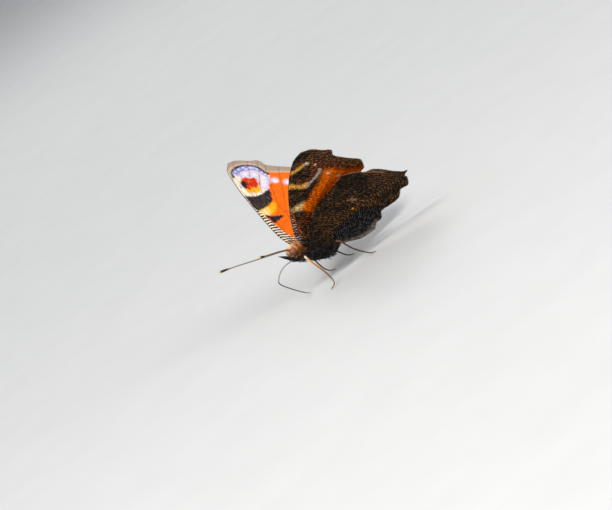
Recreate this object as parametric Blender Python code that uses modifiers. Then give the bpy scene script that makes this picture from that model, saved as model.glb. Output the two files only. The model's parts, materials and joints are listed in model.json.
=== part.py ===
"""Peacock butterfly, life size, standing with its wings half raised.

Sizes are in millimetres and angles in degrees until MM turns them into metres.
A body point is (forward, left, up), measured from the point between the wing bases.
In the finished part the head looks along -X, the insect's left side faces -Y, the feet
stand on Z = 0 and the origin lies under the middle of the whole outline.
"""
import math

import bmesh
import bpy
import numpy as np
from mathutils import Vector

MM = 0.001
NAME = "peacock_butterfly"

# Stance: height of the wing bases above the floor, and how far the middle of the whole
# outline lies forward and left of them.
STANCE = 9.17
MIDDLE_FORWARD = -4.289
MIDDLE_LEFT = 0.23
SEAM = 0.3          # gap between solids that touch in life

# Wings: posed by three turns about the wing base, the same flat plan on both sides.
WING_THICK = 0.5
WING_BEND = -22.3   # droop of the blade from its base to 30 mm out, in degrees
BEND_SPAN = 30.0
FORE_BASE = (0.67, 1.8, 0.69)
FORE_POSE = {"left": (56.3, 43.6, 8.5), "right": (57.3, 44.0, 7.5)}   # elevation, sweep, twist
HIND_BASE = (-1.83, 2.2, -0.5)
HIND_POSE = (50.0, 41.0, 6.5)
FOLD_LINE = 1.6     # distance out from the hind wing's base where its inner part turns down
FOLD_RADIUS = 2.5
FOLD_TURN = 42.0

# Flat wing plans: (outward, forward) from the wing base.
FORE_COSTA = [(0.0, 1.3), (2.0, 4.7), (6.0, 8.2), (10.3, 11.3), (14.5, 14.0), (18.4, 16.0),
              (21.8, 17.3), (24.7, 17.2)]
FORE_MARGIN = [(24.7, 17.2), (26.1, 15.2), (26.4, 12.4), (26.9, 10.0), (25.5, 8.4), (25.3, 6.0),
               (25.4, 3.1), (25.6, 0.7), (24.9, -0.7), (23.3, -2.4)]
FORE_DORSUM = [(0.0, -0.9), (5.5, -1.5), (12.0, -2.3), (18.0, -2.3), (23.3, -2.4)]
HIND_COSTA = [(0.0, 1.1), (1.0, 3.9), (3.0, 5.6), (5.9, 6.5), (11.1, 7.2), (15.7, 6.5),
              (20.3, 6.0)]
HIND_MARGIN = [(20.3, 6.0), (21.5, 3.2), (21.8, 0.4), (22.9, -1.3), (23.0, -4.4), (22.7, -7.6),
               (22.8, -11.0), (23.3, -12.0), (21.6, -12.5), (20.9, -13.9), (18.6, -15.9),
               (17.2, -14.7), (14.7, -15.8), (12.3, -14.2), (10.6, -12.6), (8.7, -12.9),
               (7.4, -12.0), (5.8, -11.9)]
HIND_DORSUM = [(0.0, -0.9), (0.7, -3.2), (1.7, -5.9), (3.0, -8.9), (4.3, -10.6), (5.8, -11.9)]
FORE_ROWS, FORE_SPLIT = 10, 2      # rows out from the base, steps between margin points
HIND_ROWS, HIND_SPLIT = 9, 2
TOOTH_REACH, TOOTH_FADE = 5, 8    # how far and how fast the rim's teeth fade into the blade

# Body: each round part is a centre and three half axes (forward, sideways, up).
THORAX = ((-2.6, 0.0, -1.2), (4.9, 2.4, 2.75))
THORAX_TILT = 20.0  # how far the thorax's front end is raised, in degrees
COLLAR = ((1.5, 0.0, 0.75), (1.1, 1.35, 1.4))
HEAD = ((3.65, 0.0, 1.6), (1.2, 1.4, 1.3))
EYE = ((3.85, 1.15, 1.7), (0.85, 0.52, 0.95))
EYE_SEAM = 0.12
ABDOMEN_AXIS = [(-3.6, 0.0, -1.1), (-7.5, 0.0, -1.35), (-12.0, 0.0, -1.9), (-16.6, 0.0, -2.9)]
ABDOMEN_RADII = [1.8, 2.0, 1.75, 0.95]

# Limbs and feelers: routes of body points on the insect's left side, with radii.
PALP = [(3.6, 0.68, -0.6), (4.35, 0.68, -0.2), (5.15, 0.75, 0.9), (6.1, 0.6, 1.85), (7.1, 0.5, 2.8)]
PALP_RADII = [0.3, 0.36, 0.36, 0.32, 0.25]
PROBOSCIS = [(5.0, 0.0, 0.15), (7.0, 0.0, 0.2), (8.8, 0.0, -0.3), (10.2, 0.0, -1.35),
             (10.6, 0.0, -2.4), (9.2, 0.0, -4.6), (6.9, 0.0, -7.4), (5.6, 0.0, -8.5)]
PROBOSCIS_RADII = [0.28, 0.27, 0.26, 0.26, 0.25, 0.25, 0.25, 0.25]
ANTENNA = {"left": [(4.5, 0.6, 2.75), (7.5, 3.7, 4.3), (11.3, 7.7, 6.0), (13.9, 10.4, 7.15),
                    (15.3, 11.8, 7.75)],
           "right": [(4.5, 0.6, 2.75), (8.2, 3.9, 3.75), (12.3, 7.7, 4.9), (15.3, 10.4, 5.7),
                     (16.8, 11.8, 6.0)]}
ANTENNA_RADII = [0.25, 0.25, 0.26, 0.4, 0.42]
FORELEG = [(0.9, 0.95, -1.75), (2.0, 1.1, -1.5), (2.9, 1.15, -0.9), (3.3, 1.1, -0.45)]
FORELEG_RADII = [0.36, 0.4, 0.34, 0.26]
MIDLEG = {"left": [(0.3, 1.1, -2.0), (1.7, 2.4, -1.7), (3.15, 3.5, -0.45), (2.35, 6.5, -5.3),
                   (2.4, 7.8, -8.0)],
          "right": [(0.3, 1.1, -2.0), (-0.2, 2.9, -1.9), (-0.7, 4.6, -0.9), (-2.1, 5.6, -6.1),
                    (-3.1, 5.8, -8.1)]}
MIDLEG_RADII = [0.45, 0.42, 0.36, 0.28, 0.25]
MIDLEG_FOOT = {"left": (3.4, 7.9), "right": (-4.2, 5.8)}
HINDLEG = [(-2.7, 1.2, -3.4), (-3.8, 2.7, -3.4), (-5.2, 4.2, -1.9), (-7.1, 5.0, -5.5),
           (-9.1, 6.0, -8.1)]
HINDLEG_RADII = [0.45, 0.42, 0.36, 0.28, 0.25]
HINDLEG_FOOT = (-10.3, 6.0)
FOOT_RADIUS = 0.27
FOOT_HEIGHT = 0.45

COLOURS = {"wing_upper": ((0.62, 0.13, 0.02), 0.75), "fur": ((0.10, 0.05, 0.025), 0.9),
           "eye": ((0.05, 0.02, 0.015), 0.25),
           "limb": ((0.16, 0.085, 0.03), 0.6), "feeler": ((0.05, 0.035, 0.025), 0.5)}


def world(point):
    """Metres in the part's frame for a body point in millimetres."""
    forward, left, up = point
    return Vector((MIDDLE_FORWARD - forward, MIDDLE_LEFT - left, up + STANCE)) * MM


def mirrored(point, side):
    """A left-hand body point, or its mirror image for the right side."""
    sign = 1.0 if side == "left" else -1.0
    return (point[0], sign * point[1], point[2])


def smooth_line(points, steps):
    """Catmull-Rom curve through the points, with the given number of steps between them."""
    pts = [np.array(p, dtype=float) for p in points]
    pts = [2 * pts[0] - pts[1]] + pts + [2 * pts[-1] - pts[-2]]
    line = []
    for i in range(1, len(pts) - 2):
        a, b, c, d = pts[i - 1:i + 3]
        for j in range(steps):
            t = j / steps
            line.append(0.5 * (2 * b + (c - a) * t + (2 * a - 5 * b + 4 * c - d) * t ** 2
                               + (3 * b - a - 3 * c + d) * t ** 3))
    line.append(pts[-2])
    return np.array(line)


def at_fraction(line, fraction):
    """Point at a fraction of a line's length."""
    lengths = np.concatenate([[0.0], np.cumsum(np.linalg.norm(np.diff(line, axis=0), axis=1))])
    target = fraction * lengths[-1]
    return np.array([np.interp(target, lengths, line[:, k]) for k in range(line.shape[1])])


def softened(line, index, reach):
    """Mean of a line's points round one of them, reaching less far near the ends."""
    reach = min(reach, index, len(line) - 1 - index)
    return np.mean(line[index - reach:index + reach + 1], axis=0)


def wing_plan(costa, dorsum, margin, split, row, column, rows, columns):
    """Flat wing point: the wing's four edges blended, with its teeth fading in from the rim."""
    u, v = row / rows, column / columns
    top, bottom = smooth_line(costa, 12), smooth_line(dorsum, 12)
    rim = smooth_line(margin, split)
    upper, lower = at_fraction(top, u), at_fraction(bottom, u)
    inner = top[0] + (bottom[0] - top[0]) * v
    broad = softened(rim, column, TOOTH_REACH)
    outer = broad + (rim[column] - broad) * u ** TOOTH_FADE
    corners = ((1 - u) * (1 - v) * top[0] + (1 - u) * v * bottom[0]
               + u * (1 - v) * top[-1] + u * v * bottom[-1])
    return (1 - v) * upper + v * lower + (1 - u) * inner + u * outer - corners


def turn(a, b, angle):
    """Turn the pair (a, b) by an angle in degrees."""
    c, s = math.cos(math.radians(angle)), math.sin(math.radians(angle))
    return a * c - b * s, a * s + b * c


def wing_pose(flat, base, pose, fold):
    """Body point of a flat wing point: bend, sweep, twist, inner fold, then elevation."""
    elevation, sweep, twist = pose
    rate = math.radians(WING_BEND) / BEND_SPAN
    outward, forward = flat
    x, y, z = forward, math.sin(rate * outward) / rate, (1 - math.cos(rate * outward)) / rate
    x, y = turn(x, y, sweep)
    x, z = turn(x, z, twist)
    inward = FOLD_LINE - y
    if fold and inward > 0:
        bent = min(inward / FOLD_RADIUS, math.radians(FOLD_TURN))
        rest = inward - bent * FOLD_RADIUS
        y = FOLD_LINE - FOLD_RADIUS * math.sin(bent) - rest * math.cos(bent)
        z = z - FOLD_RADIUS * (1 - math.cos(bent)) - rest * math.sin(bent)
    y, z = turn(y, z, elevation)
    return (x + base[0], y + base[1], z + base[2])


def material(name):
    """Principled material with the part's own colour and roughness."""
    colour, roughness = COLOURS[name]
    mat = bpy.data.materials.get(name) or bpy.data.materials.new(name)
    mat.use_nodes = True
    shader = mat.node_tree.nodes["Principled BSDF"]
    shader.inputs["Base Color"].default_value = (*colour, 1.0)
    shader.inputs["Roughness"].default_value = roughness
    shader.inputs["Metallic"].default_value = 0.0
    mat.diffuse_color = (*colour, 1.0)
    return mat


def keep(obj, name, mat_name, collection, root):
    """Name an object, give it its material and move it into its collection."""
    obj.name = name
    obj.data.name = name
    if mat_name:
        obj.data.materials.clear()
        obj.data.materials.append(material(mat_name))
    for home in list(obj.users_collection):
        home.objects.unlink(obj)
    collection.objects.link(obj)
    obj.parent = root
    return obj


def cut_by(obj, cutters):
    """Cut an object back from its neighbours."""
    for cutter in cutters:
        boolean = obj.modifiers.new("clear_" + cutter.name, "BOOLEAN")
        boolean.operation = "DIFFERENCE"
        boolean.object = cutter


def round_part(name, spec, side, grow=0.0, segments=20, rings=12, tilt=0.0):
    """Ellipsoid from a centre and three half axes, its front end raised by a tilt."""
    centre, half = spec
    bpy.ops.mesh.primitive_uv_sphere_add(segments=segments, ring_count=rings, radius=1.0)
    obj = bpy.context.object
    middle = mirrored(centre, side)
    for vertex in obj.data.vertices:
        offset = [vertex.co[k] * (half[k] + grow) for k in range(3)]
        offset[0], offset[2] = turn(offset[0], offset[2], tilt)
        vertex.co = world([middle[k] + offset[k] for k in range(3)])
    obj.data.shade_smooth()
    return obj


def cutter(name, spec, side, grow, collection, root, tilt=0.0):
    """Hidden ellipsoid that keeps neighbours clear."""
    obj = keep(round_part(name, spec, side, grow, tilt=tilt), name, None, collection, root)
    obj.hide_render = True
    obj.display_type = "WIRE"
    return obj


def abdomen(collection, root):
    """Long tapering body along its own drooping axis."""
    bpy.ops.mesh.primitive_uv_sphere_add(segments=16, ring_count=18, radius=1.0)
    obj = bpy.context.object
    axis, radii = smooth_line(ABDOMEN_AXIS, 12), smooth_line([(r,) for r in ABDOMEN_RADII], 12)
    for vertex in obj.data.vertices:
        along = (1 - vertex.co.z) / 2
        centre, radius = at_fraction(axis, along), radii[round(along * (len(radii) - 1))][0]
        ring = math.hypot(vertex.co.x, vertex.co.y)
        blunt = min(1.0, ring) ** 0.6
        unit = (vertex.co.x / ring, vertex.co.y / ring) if ring > 1e-6 else (0.0, 0.0)
        offset = (0.0, unit[1] * radius * blunt, unit[0] * radius * blunt)
        vertex.co = world([centre[k] + offset[k] for k in range(3)])
    obj.data.shade_smooth()
    return keep(obj, "abdomen", "fur", collection, root)


def tube(name, route, radii, side, steps, mat_name, collection, root, foot=None):
    """Limb or feeler: a round tube along a smooth route, turned into a closed mesh."""
    line = [mirrored(p, side) for p in smooth_line(route, steps)]
    sizes = [r[0] for r in smooth_line([(r,) for r in radii], steps)]
    if foot:
        forward, left = foot
        ankle = mirrored((forward, left, FOOT_HEIGHT - STANCE), side)
        sole = mirrored((forward, left, -STANCE), side)
        line += [ankle, sole]
        sizes += [FOOT_RADIUS, FOOT_RADIUS]
    curve = bpy.data.curves.new(name, "CURVE")
    curve.dimensions = "3D"
    curve.bevel_depth = MM
    curve.bevel_resolution = 2
    curve.use_fill_caps = True
    spline = curve.splines.new("POLY")
    spline.points.add(len(line) - 1)
    for point, place, size in zip(spline.points, line, sizes):
        point.co = (*world(place), 1.0)
        point.radius = size
    drawn = bpy.data.objects.new(name + "_route", curve)
    bpy.context.scene.collection.objects.link(drawn)
    return keep(solid_from(drawn, name), name, mat_name, collection, root)


def solid_from(drawn, name):
    """Closed mesh object made from a curve, with its caps welded."""
    graph = bpy.context.evaluated_depsgraph_get()
    mesh = bpy.data.meshes.new_from_object(drawn.evaluated_get(graph))
    work = bmesh.new()
    work.from_mesh(mesh)
    bmesh.ops.remove_doubles(work, verts=work.verts, dist=1e-6)
    bmesh.ops.recalc_face_normals(work, faces=work.faces)
    work.to_mesh(mesh)
    work.free()
    mesh.set_sharp_from_angle(angle=math.radians(50))
    obj = bpy.data.objects.new(name, mesh)
    obj.matrix_world = drawn.matrix_world
    bpy.context.scene.collection.objects.link(obj)
    bpy.data.objects.remove(drawn)
    return obj


def wing(name, side, plan, base, pose, fold, clear_of, collection, root):
    """Thin curved wing: a grid shaped to the flat plan, posed, then given its thickness."""
    costa, dorsum, margin, rows, split = plan
    columns = (len(margin) - 1) * split
    bpy.ops.mesh.primitive_grid_add(x_subdivisions=rows, y_subdivisions=columns, size=1.0)
    obj = bpy.context.object
    for vertex in obj.data.vertices:
        row, column = round((vertex.co.x + 0.5) * rows), round((vertex.co.y + 0.5) * columns)
        flat = wing_plan(costa, dorsum, margin, split, row, column, rows, columns)
        vertex.co = world(mirrored(wing_pose(flat, base, pose, fold), side))
    solid = obj.modifiers.new("thickness", "SOLIDIFY")
    solid.thickness = WING_THICK * MM
    solid.offset = 0.0
    cut_by(obj, clear_of)
    return keep(obj, name, "wing_upper", collection, root)


def main():
    for obj in list(bpy.data.objects):
        bpy.data.objects.remove(obj)
    parts = bpy.data.collections.new(NAME)
    cutters = bpy.data.collections.new("cutters")
    for collection in (parts, cutters):
        bpy.context.scene.collection.children.link(collection)
    root = bpy.data.objects.new(NAME + "_root", None)
    parts.objects.link(root)

    body_room = [cutter("thorax_room", THORAX, "left", SEAM, cutters, root, THORAX_TILT),
                 cutter("collar_room", COLLAR, "left", SEAM, cutters, root)]
    head_room = cutter("head_room", HEAD, "left", SEAM, cutters, root)
    collar = cutter("collar_core", COLLAR, "left", 0.0, cutters, root)
    thorax = keep(round_part("thorax", THORAX, "left", tilt=THORAX_TILT), "thorax", "fur", parts, root)
    union = thorax.modifiers.new("collar", "BOOLEAN")
    union.operation = "UNION"
    union.object = collar
    cut_by(thorax, [head_room])
    head = keep(round_part("head", HEAD, "left"), "head", "fur", parts, root)
    tail = abdomen(parts, root)
    cut_by(tail, body_room[:1])

    fore_plan = (FORE_COSTA, FORE_DORSUM, FORE_MARGIN, FORE_ROWS, FORE_SPLIT)
    hind_plan = (HIND_COSTA, HIND_DORSUM, HIND_MARGIN, HIND_ROWS, HIND_SPLIT)
    for side in ("left", "right"):
        end = "_l" if side == "left" else "_r"
        wing("forewing" + end, side, fore_plan, FORE_BASE, FORE_POSE[side], False,
             body_room, parts, root)
        wing("hindwing" + end, side, hind_plan, HIND_BASE, HIND_POSE, True,
             body_room[:1], parts, root)
        keep(round_part("eye" + end, EYE, side, 0.0, 12, 10), "eye" + end, "eye", parts, root)
        cut_by(head, [cutter("eye_room" + end, EYE, side, EYE_SEAM, cutters, root)])
        cut_by(tube("antenna" + end, ANTENNA[side], ANTENNA_RADII, side, 4, "feeler", parts, root),
               [head_room])
        cut_by(tube("palp" + end, PALP, PALP_RADII, side, 3, "fur", parts, root), [head_room])
        tube("foreleg" + end, FORELEG, FORELEG_RADII, side, 3, "limb", parts, root)
        tube("midleg" + end, MIDLEG[side], MIDLEG_RADII, side, 4, "limb", parts, root,
             MIDLEG_FOOT[side])
        tube("hindleg" + end, HINDLEG, HINDLEG_RADII, side, 4, "limb", parts, root, HINDLEG_FOOT)
        for leg in ("foreleg", "midleg", "hindleg"):
            cut_by(parts.objects[leg + end], body_room[:1])
    cut_by(tube("proboscis", PROBOSCIS, PROBOSCIS_RADII, "left", 4, "feeler", parts, root),
           [head_room])


main()
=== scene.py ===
"""Looks of a life-size peacock butterfly with half raised wings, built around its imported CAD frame.

Sizes are in millimetres and angles in degrees until MM turns them into metres.
A body point is (forward, left, up), measured from the point between the wing bases.
A plan point is (outward, forward) on a wing laid flat, measured from the wing's base.
"""
import itertools
import json
import math
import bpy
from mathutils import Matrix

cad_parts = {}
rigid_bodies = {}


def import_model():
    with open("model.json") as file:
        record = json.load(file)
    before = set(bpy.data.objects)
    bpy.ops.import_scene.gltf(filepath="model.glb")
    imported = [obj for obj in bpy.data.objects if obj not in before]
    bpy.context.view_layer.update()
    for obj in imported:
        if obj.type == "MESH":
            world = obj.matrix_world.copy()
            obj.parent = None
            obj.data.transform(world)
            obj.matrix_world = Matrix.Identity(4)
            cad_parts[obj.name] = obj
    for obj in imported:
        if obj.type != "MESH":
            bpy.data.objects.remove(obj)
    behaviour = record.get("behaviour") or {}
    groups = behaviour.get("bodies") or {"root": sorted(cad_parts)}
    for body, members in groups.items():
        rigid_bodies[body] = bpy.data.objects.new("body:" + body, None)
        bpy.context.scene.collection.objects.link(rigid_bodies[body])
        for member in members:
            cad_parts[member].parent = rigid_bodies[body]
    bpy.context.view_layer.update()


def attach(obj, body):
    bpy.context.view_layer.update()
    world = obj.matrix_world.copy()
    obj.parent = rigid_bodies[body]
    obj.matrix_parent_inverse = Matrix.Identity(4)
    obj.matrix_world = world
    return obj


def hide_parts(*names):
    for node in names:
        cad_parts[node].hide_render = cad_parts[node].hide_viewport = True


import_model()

from types import SimpleNamespace

import bmesh
import bpy
import numpy as np
from mathutils import Matrix, Vector

bl_info = {
    "name": "Peacock Butterfly",
    "version": (1, 0, 0),
    "blender": (4, 5, 0),
    "location": "3D View > Sidebar > Butterfly",
    "description": "Builds a life-size peacock butterfly with painted wings and a hairy body",
    "category": "Add Mesh",
}

MM = 0.001
SIDES = (("left", "_l"), ("right", "_r"))

# Place of the wing bases in the frame, and the frame's directions against the body's.
STANCE = 9.17
BASES = (-4.289, 0.23, STANCE)
WAY = (-1, -1, 1)

# Wings: pose and flat outline, as in the CAD source.
WING_BEND = -22.3
BEND_SPAN = 30.0
FORE_BASE = (0.67, 1.8, 0.69)
FORE_POSE = {"left": (56.3, 43.6, 8.5), "right": (57.3, 44.0, 7.5)}
HIND_BASE = (-1.83, 2.2, -0.5)
HIND_POSE = {"left": (50.0, 41.0, 6.5), "right": (50.0, 41.0, 6.5)}
FOLD_LINE = 1.6
FOLD_RADIUS = 2.5
FOLD_TURN = 42.0
FORE_COSTA = [(0, 1.3), (2.0, 4.7), (6.0, 8.2), (10.3, 11.3), (14.5, 14.0), (18.4, 16.0),
              (21.8, 17.3), (24.7, 17.2)]
FORE_MARGIN = [(24.7, 17.2), (26.1, 15.2), (26.4, 12.4), (26.9, 10.0), (25.5, 8.4), (25.3, 6.0),
               (25.4, 3.1), (25.6, 0.7), (24.9, -0.7), (23.3, -2.4)]
FORE_DORSUM = [(0, -0.9), (5.5, -1.5), (12.0, -2.3), (18.0, -2.3), (23.3, -2.4)]
HIND_COSTA = [(0, 1.1), (1.0, 3.9), (3.0, 5.6), (5.9, 6.5), (11.1, 7.2), (15.7, 6.5), (20.3, 6.0)]
HIND_MARGIN = [(20.3, 6.0), (21.5, 3.2), (21.8, 0.4), (22.9, -1.3), (23.0, -4.4), (22.7, -7.6),
               (22.8, -11.0), (23.3, -12.0), (21.6, -12.5), (20.9, -13.9), (18.6, -15.9),
               (17.2, -14.7), (14.7, -15.8), (12.3, -14.2), (10.6, -12.6), (8.7, -12.9),
               (7.4, -12.0), (5.8, -11.9)]
HIND_DORSUM = [(0, -0.9), (0.7, -3.2), (1.7, -5.9), (3.0, -8.9), (4.3, -10.6), (5.8, -11.9)]
TOOTH_REACH, TOOTH_FADE = 2.5, 8
VEIN_WIDTH = 0.13
PLEAT_HEIGHT, PLEAT_WIDTH = 0.09, 0.7       # swell of the blade between two veins
EDGE_HEIGHT, EDGE_WIDTH = 0.06, 0.2         # thicker rim along the leading edge
FRINGE_ROWS = 30                            # rows of the grid that gives the margin
SCALE_GAP, SCALE_GIRTH = 0.09, 0.3          # of the scales of the fringe
OUTSIDE = 9.0                               # distance that stands for far outside

# Veins of each wing, in plan points.
FORE_VEINS = [
    [(0, 1.0), (4, 5.0), (9, 8.9), (13.5, 12.4), (15.5, 14.3)],
    [(0, 0.8), (4.5, 4.3), (9, 7.4), (13, 10.6), (17.5, 14.0), (21.5, 16.8)],
    [(13, 10.6), (18, 13.0), (22.5, 15.2), (25.6, 16.0)],
    [(11.4, 8.6), (14.5, 10.5), (18, 11.9), (22, 12.2), (26.3, 12.8)],
    [(11.6, 7.3), (14.5, 8.9), (18, 9.8), (22, 9.9), (26.6, 10.3)],
    [(11.3, 5.4), (16, 6.6), (21, 8.0), (25.5, 8.5)],
    [(9.5, 3.6), (15, 4.2), (20, 4.9), (25.3, 5.4)],
    [(6.5, 2.2), (12, 1.8), (18, 1.9), (25.4, 2.2)],
    [(0, 0.3), (3.5, 1.4), (6.5, 2.2), (9.5, 3.6), (11.3, 5.4), (11.6, 7.3), (11.4, 8.6), (11, 9.2)],
    [(0, -0.1), (6, -0.2), (14, -0.6), (20, -0.8), (24.8, -0.9)]]
HIND_VEINS = [
    [(0, 1), (2.5, 4.0), (7, 5.8), (13, 6.3), (19, 6.0)],
    [(0, 0.6), (3.5, 2.6), (9, 3.9), (15, 4.0), (21.4, 3.4)],
    [(5, 2.3), (10, 2.0), (16, 1.4), (21.9, 0.4)],
    [(6.2, 1.0), (11, -0.4), (17, -2.2), (22.9, -3.6)],
    [(6, -0.6), (11, -3.0), (17, -7), (22.9, -11.6)],
    [(5, -1.6), (9.5, -5.2), (14.5, -10.2), (18.7, -15.6)],
    [(3.5, -2.4), (7, -6.5), (10.5, -11.2), (12.3, -14.0)],
    [(0, 0.2), (2.5, -0.9), (5, -1.6), (6, -0.6), (6.2, 1.0), (5, 2.3), (3, 2.2), (0, 0.5)],
    [(0, -0.3), (2.6, -4.2), (5.4, -8.5), (8.7, -12.7)],
    [(0, -0.7), (1.5, -4), (3.6, -8), (6.3, -11.8)]]

# Markings: (name, kind, colour, softness of the edge, half width, plan points). An area is a
# closed outline, a line a stroke and dots are round spots. Later ones lie over earlier ones.
FORE_UPPER = [
    ("dorsum", "area", "brown", 0.7, 0, [
        (-1, -1.2), (6, -0.9), (14, -1.5), (23, -1.6), (24, -4), (10, -4), (-1, -3)]),
    ("margin", "area", "pale", 0.3, 0, [
        (9.5, 10.2), (14.4, 13.3), (18.2, 15.4), (20, 15.8), (22, 15.4), (23.4, 14.2), (24.0, 12.4),
        (23.6, 10.6), (22.7, 9.2), (22.5, 8.3), (22.9, 7.0), (23.1, 5.5), (23.5, 4.2), (23.6, 2.5),
        (23.3, 0.5), (22.3, -3.5), (28, -4), (29, 8), (28, 19), (18.5, 19), (9, 13)]),
    ("patch", "area", "black", 0.2, 0, [
        (14.3, 13.8), (14.3, 12.4), (14.4, 11.1), (14.7, 10.3), (15.3, 9.6), (16.0, 9.0), (17.2, 8.1),
        (15.7, 7.3), (14.1, 7.0), (12.9, 6.9), (12.1, 7.1), (11.1, 7.8), (10.4, 8.5), (9.6, 9.3),
        (9.2, 10.0), (9.6, 10.6), (11.0, 11.7), (12.4, 12.8)]),
    ("field", "area", "lavender", 0.18, 0, [
        (19.8, 15.9), (21.3, 16.2), (22.8, 15.7), (24.0, 14.6), (24.5, 13.4), (24.6, 12.2), (24.5, 10.6),
        (23.5, 9.5), (22.4, 8.4), (22.0, 7.8), (21.0, 7.4), (19.0, 7.5), (16.9, 7.7), (15.9, 8.4),
        (14.9, 9.5), (14.2, 10.6), (13.9, 12.2), (14.0, 13.6), (16.0, 14.9), (18.0, 15.6)]),
    ("blue", "area", "blue", 0.3, 0, [
        (19.8, 15.8), (21.3, 16.2), (22.8, 15.7), (24.0, 14.6), (24.5, 13.4), (24.6, 12.2), (24.5, 10.6),
        (23.5, 9.5), (22.4, 8.4), (21.0, 8.1), (21.7, 9.1), (22.7, 10.0), (22.8, 10.7), (23.1, 11.5),
        (22.9, 12.2), (22.5, 13.1), (22.2, 13.8), (21.4, 14.7), (20.0, 15.0)]),
    ("beads", "dots", "pearl", 0.24, 0.4, [
        (20.7, 15.5), (21.8, 15.3), (22.8, 14.6), (23.6, 13.5), (23.2, 12.9), (23.9, 12.1), (23.8, 11.2),
        (23.4, 10.4), (22.5, 9.3), (21.8, 8.6)]),
    ("glow", "dots", "white", 0.6, 0.42, [
        (21.3, 13.2), (21.4, 10.9), (20.6, 8.8), (19.3, 8.75), (18.0, 8.7)]),
    ("rose", "line", "rose", 0.16, 0.06, [(23.0, 12.05), (21.6, 12.05), (20.0, 12.1)]),
    ("rose_side", "line", "rose", 0.16, 0.08, [(22.2, 9.8), (20.6, 9.9), (17.4, 9.75)]),
    ("cream", "area", "cream", 0.4, 0, [
        (13.9, 13.5), (13.9, 12.2), (14.1, 10.8), (14.8, 9.7), (15.9, 8.7), (16.7, 8.9), (16.2, 10.2),
        (15.7, 11.4), (16.0, 13.2), (17.6, 14.3), (19.2, 14.2), (20.2, 14.6), (19.8, 15.8), (18.0, 15.6),
        (16.0, 14.9)]),
    ("yellow", "area", "yellow", 0.34, 0, [
        (17.0, 13.4), (16.0, 13.1), (15.1, 12.4), (15.1, 11.0), (15.5, 9.8), (17.1, 9.5), (17.8, 10.2),
        (17.0, 11.4)]),
    ("iris", "area", "red", 0.26, 0, [
        (19.0, 14.1), (19.9, 13.6), (20.1, 13.0), (19.8, 12.2), (20.15, 11.5), (19.8, 10.7), (18.6, 10.2),
        (17.4, 10.3), (16.6, 11.0), (16.9, 11.6), (15.9, 11.9), (16.1, 12.4), (16.9, 13.4),
        (18.0, 14.0)]),
    ("flames", "dots", "orange", 0.5, 0.24, [(18.9, 12.1), (19.3, 13.7), (17.0, 11.9)]),
    ("flame_side", "line", "ember", 0.2, 0.04, [(19.9, 9.9), (18.6, 9.85), (17.4, 9.85)]),
    ("pupil", "area", "black", 0.2, 0, [
        (18.4, 14.1), (18.75, 13.5), (18.4, 13.0), (17.2, 12.65), (16.5, 12.7), (16.25, 13.3),
        (17.0, 13.85)]),
    ("fleck", "line", "umber", 0.24, 0.03, [(17.3, 14.4), (16.8, 14.3), (16.3, 14.1)]),
    ("ring", "line", "black", 0.16, 0.25, [
        (19.8, 15.9), (20.6, 16.15), (21.4, 16.3), (22.3, 16.1), (23.3, 15.4), (24.1, 14.5), (24.5, 13.5),
        (24.7, 12.2), (24.6, 10.8), (24.1, 9.9), (23.4, 9.3), (22.6, 8.5), (22.2, 7.8)]),
    ("sand", "line", "sand", 0.5, 0.12, [
        (20.4, 16.75), (22.6, 16.6), (24.2, 15.4), (25.0, 13.6), (25.2, 11.4), (24.4, 9.4), (23.1, 7.9),
        (23.3, 5.6), (23.6, 3.0), (23.6, 0.6)]),
    ("gap", "area", "yellow", 0.55, 0, [
        (9.3, 9.6), (8.2, 8.6), (8.5, 7.2), (10.0, 6.2), (11.8, 5.9), (12.5, 6.8), (11.3, 7.8),
        (10.5, 8.6)]),
    ("gap_edge", "area", "straw", 0.4, 0, [
        (9.2, 10.1), (8.4, 9.4), (8.2, 8.3), (8.6, 7.4), (9.3, 7.3), (10.0, 7.6), (10.7, 8.2),
        (10.3, 8.8)]),
    ("wedge", "area", "black", 0.2, 0, [
        (8.4, 8.4), (8.3, 6.8), (8.8, 4.2), (7.9, 4.7), (7.0, 5.6), (6.3, 6.3), (7.2, 7.4)]),
    ("halo", "dots", "lavender", 0.55, 0.95, [(20.0, 6.35), (19.8, 3.35)]),
    ("spots", "dots", "white", 0.3, 0.52, [(19.75, 6.1), (19.6, 3.15)]),
    ("spot_dots", "dots", "white", 0.3, 0.3, [(21.9, 0.9)]),
    ("leading", "line", "cream", 0.12, 0.12, [
        (8.4, 10.0), (10.4, 11.35), (14.5, 14.0), (18.4, 16.0), (21.8, 17.25)]),
    ("root", "area", "ginger", 0.7, 0, [(-2, 3), (0.6, 2.4), (2.2, 1.6), (2.2, 0), (1.6, -3), (-2, -3)])]
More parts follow.
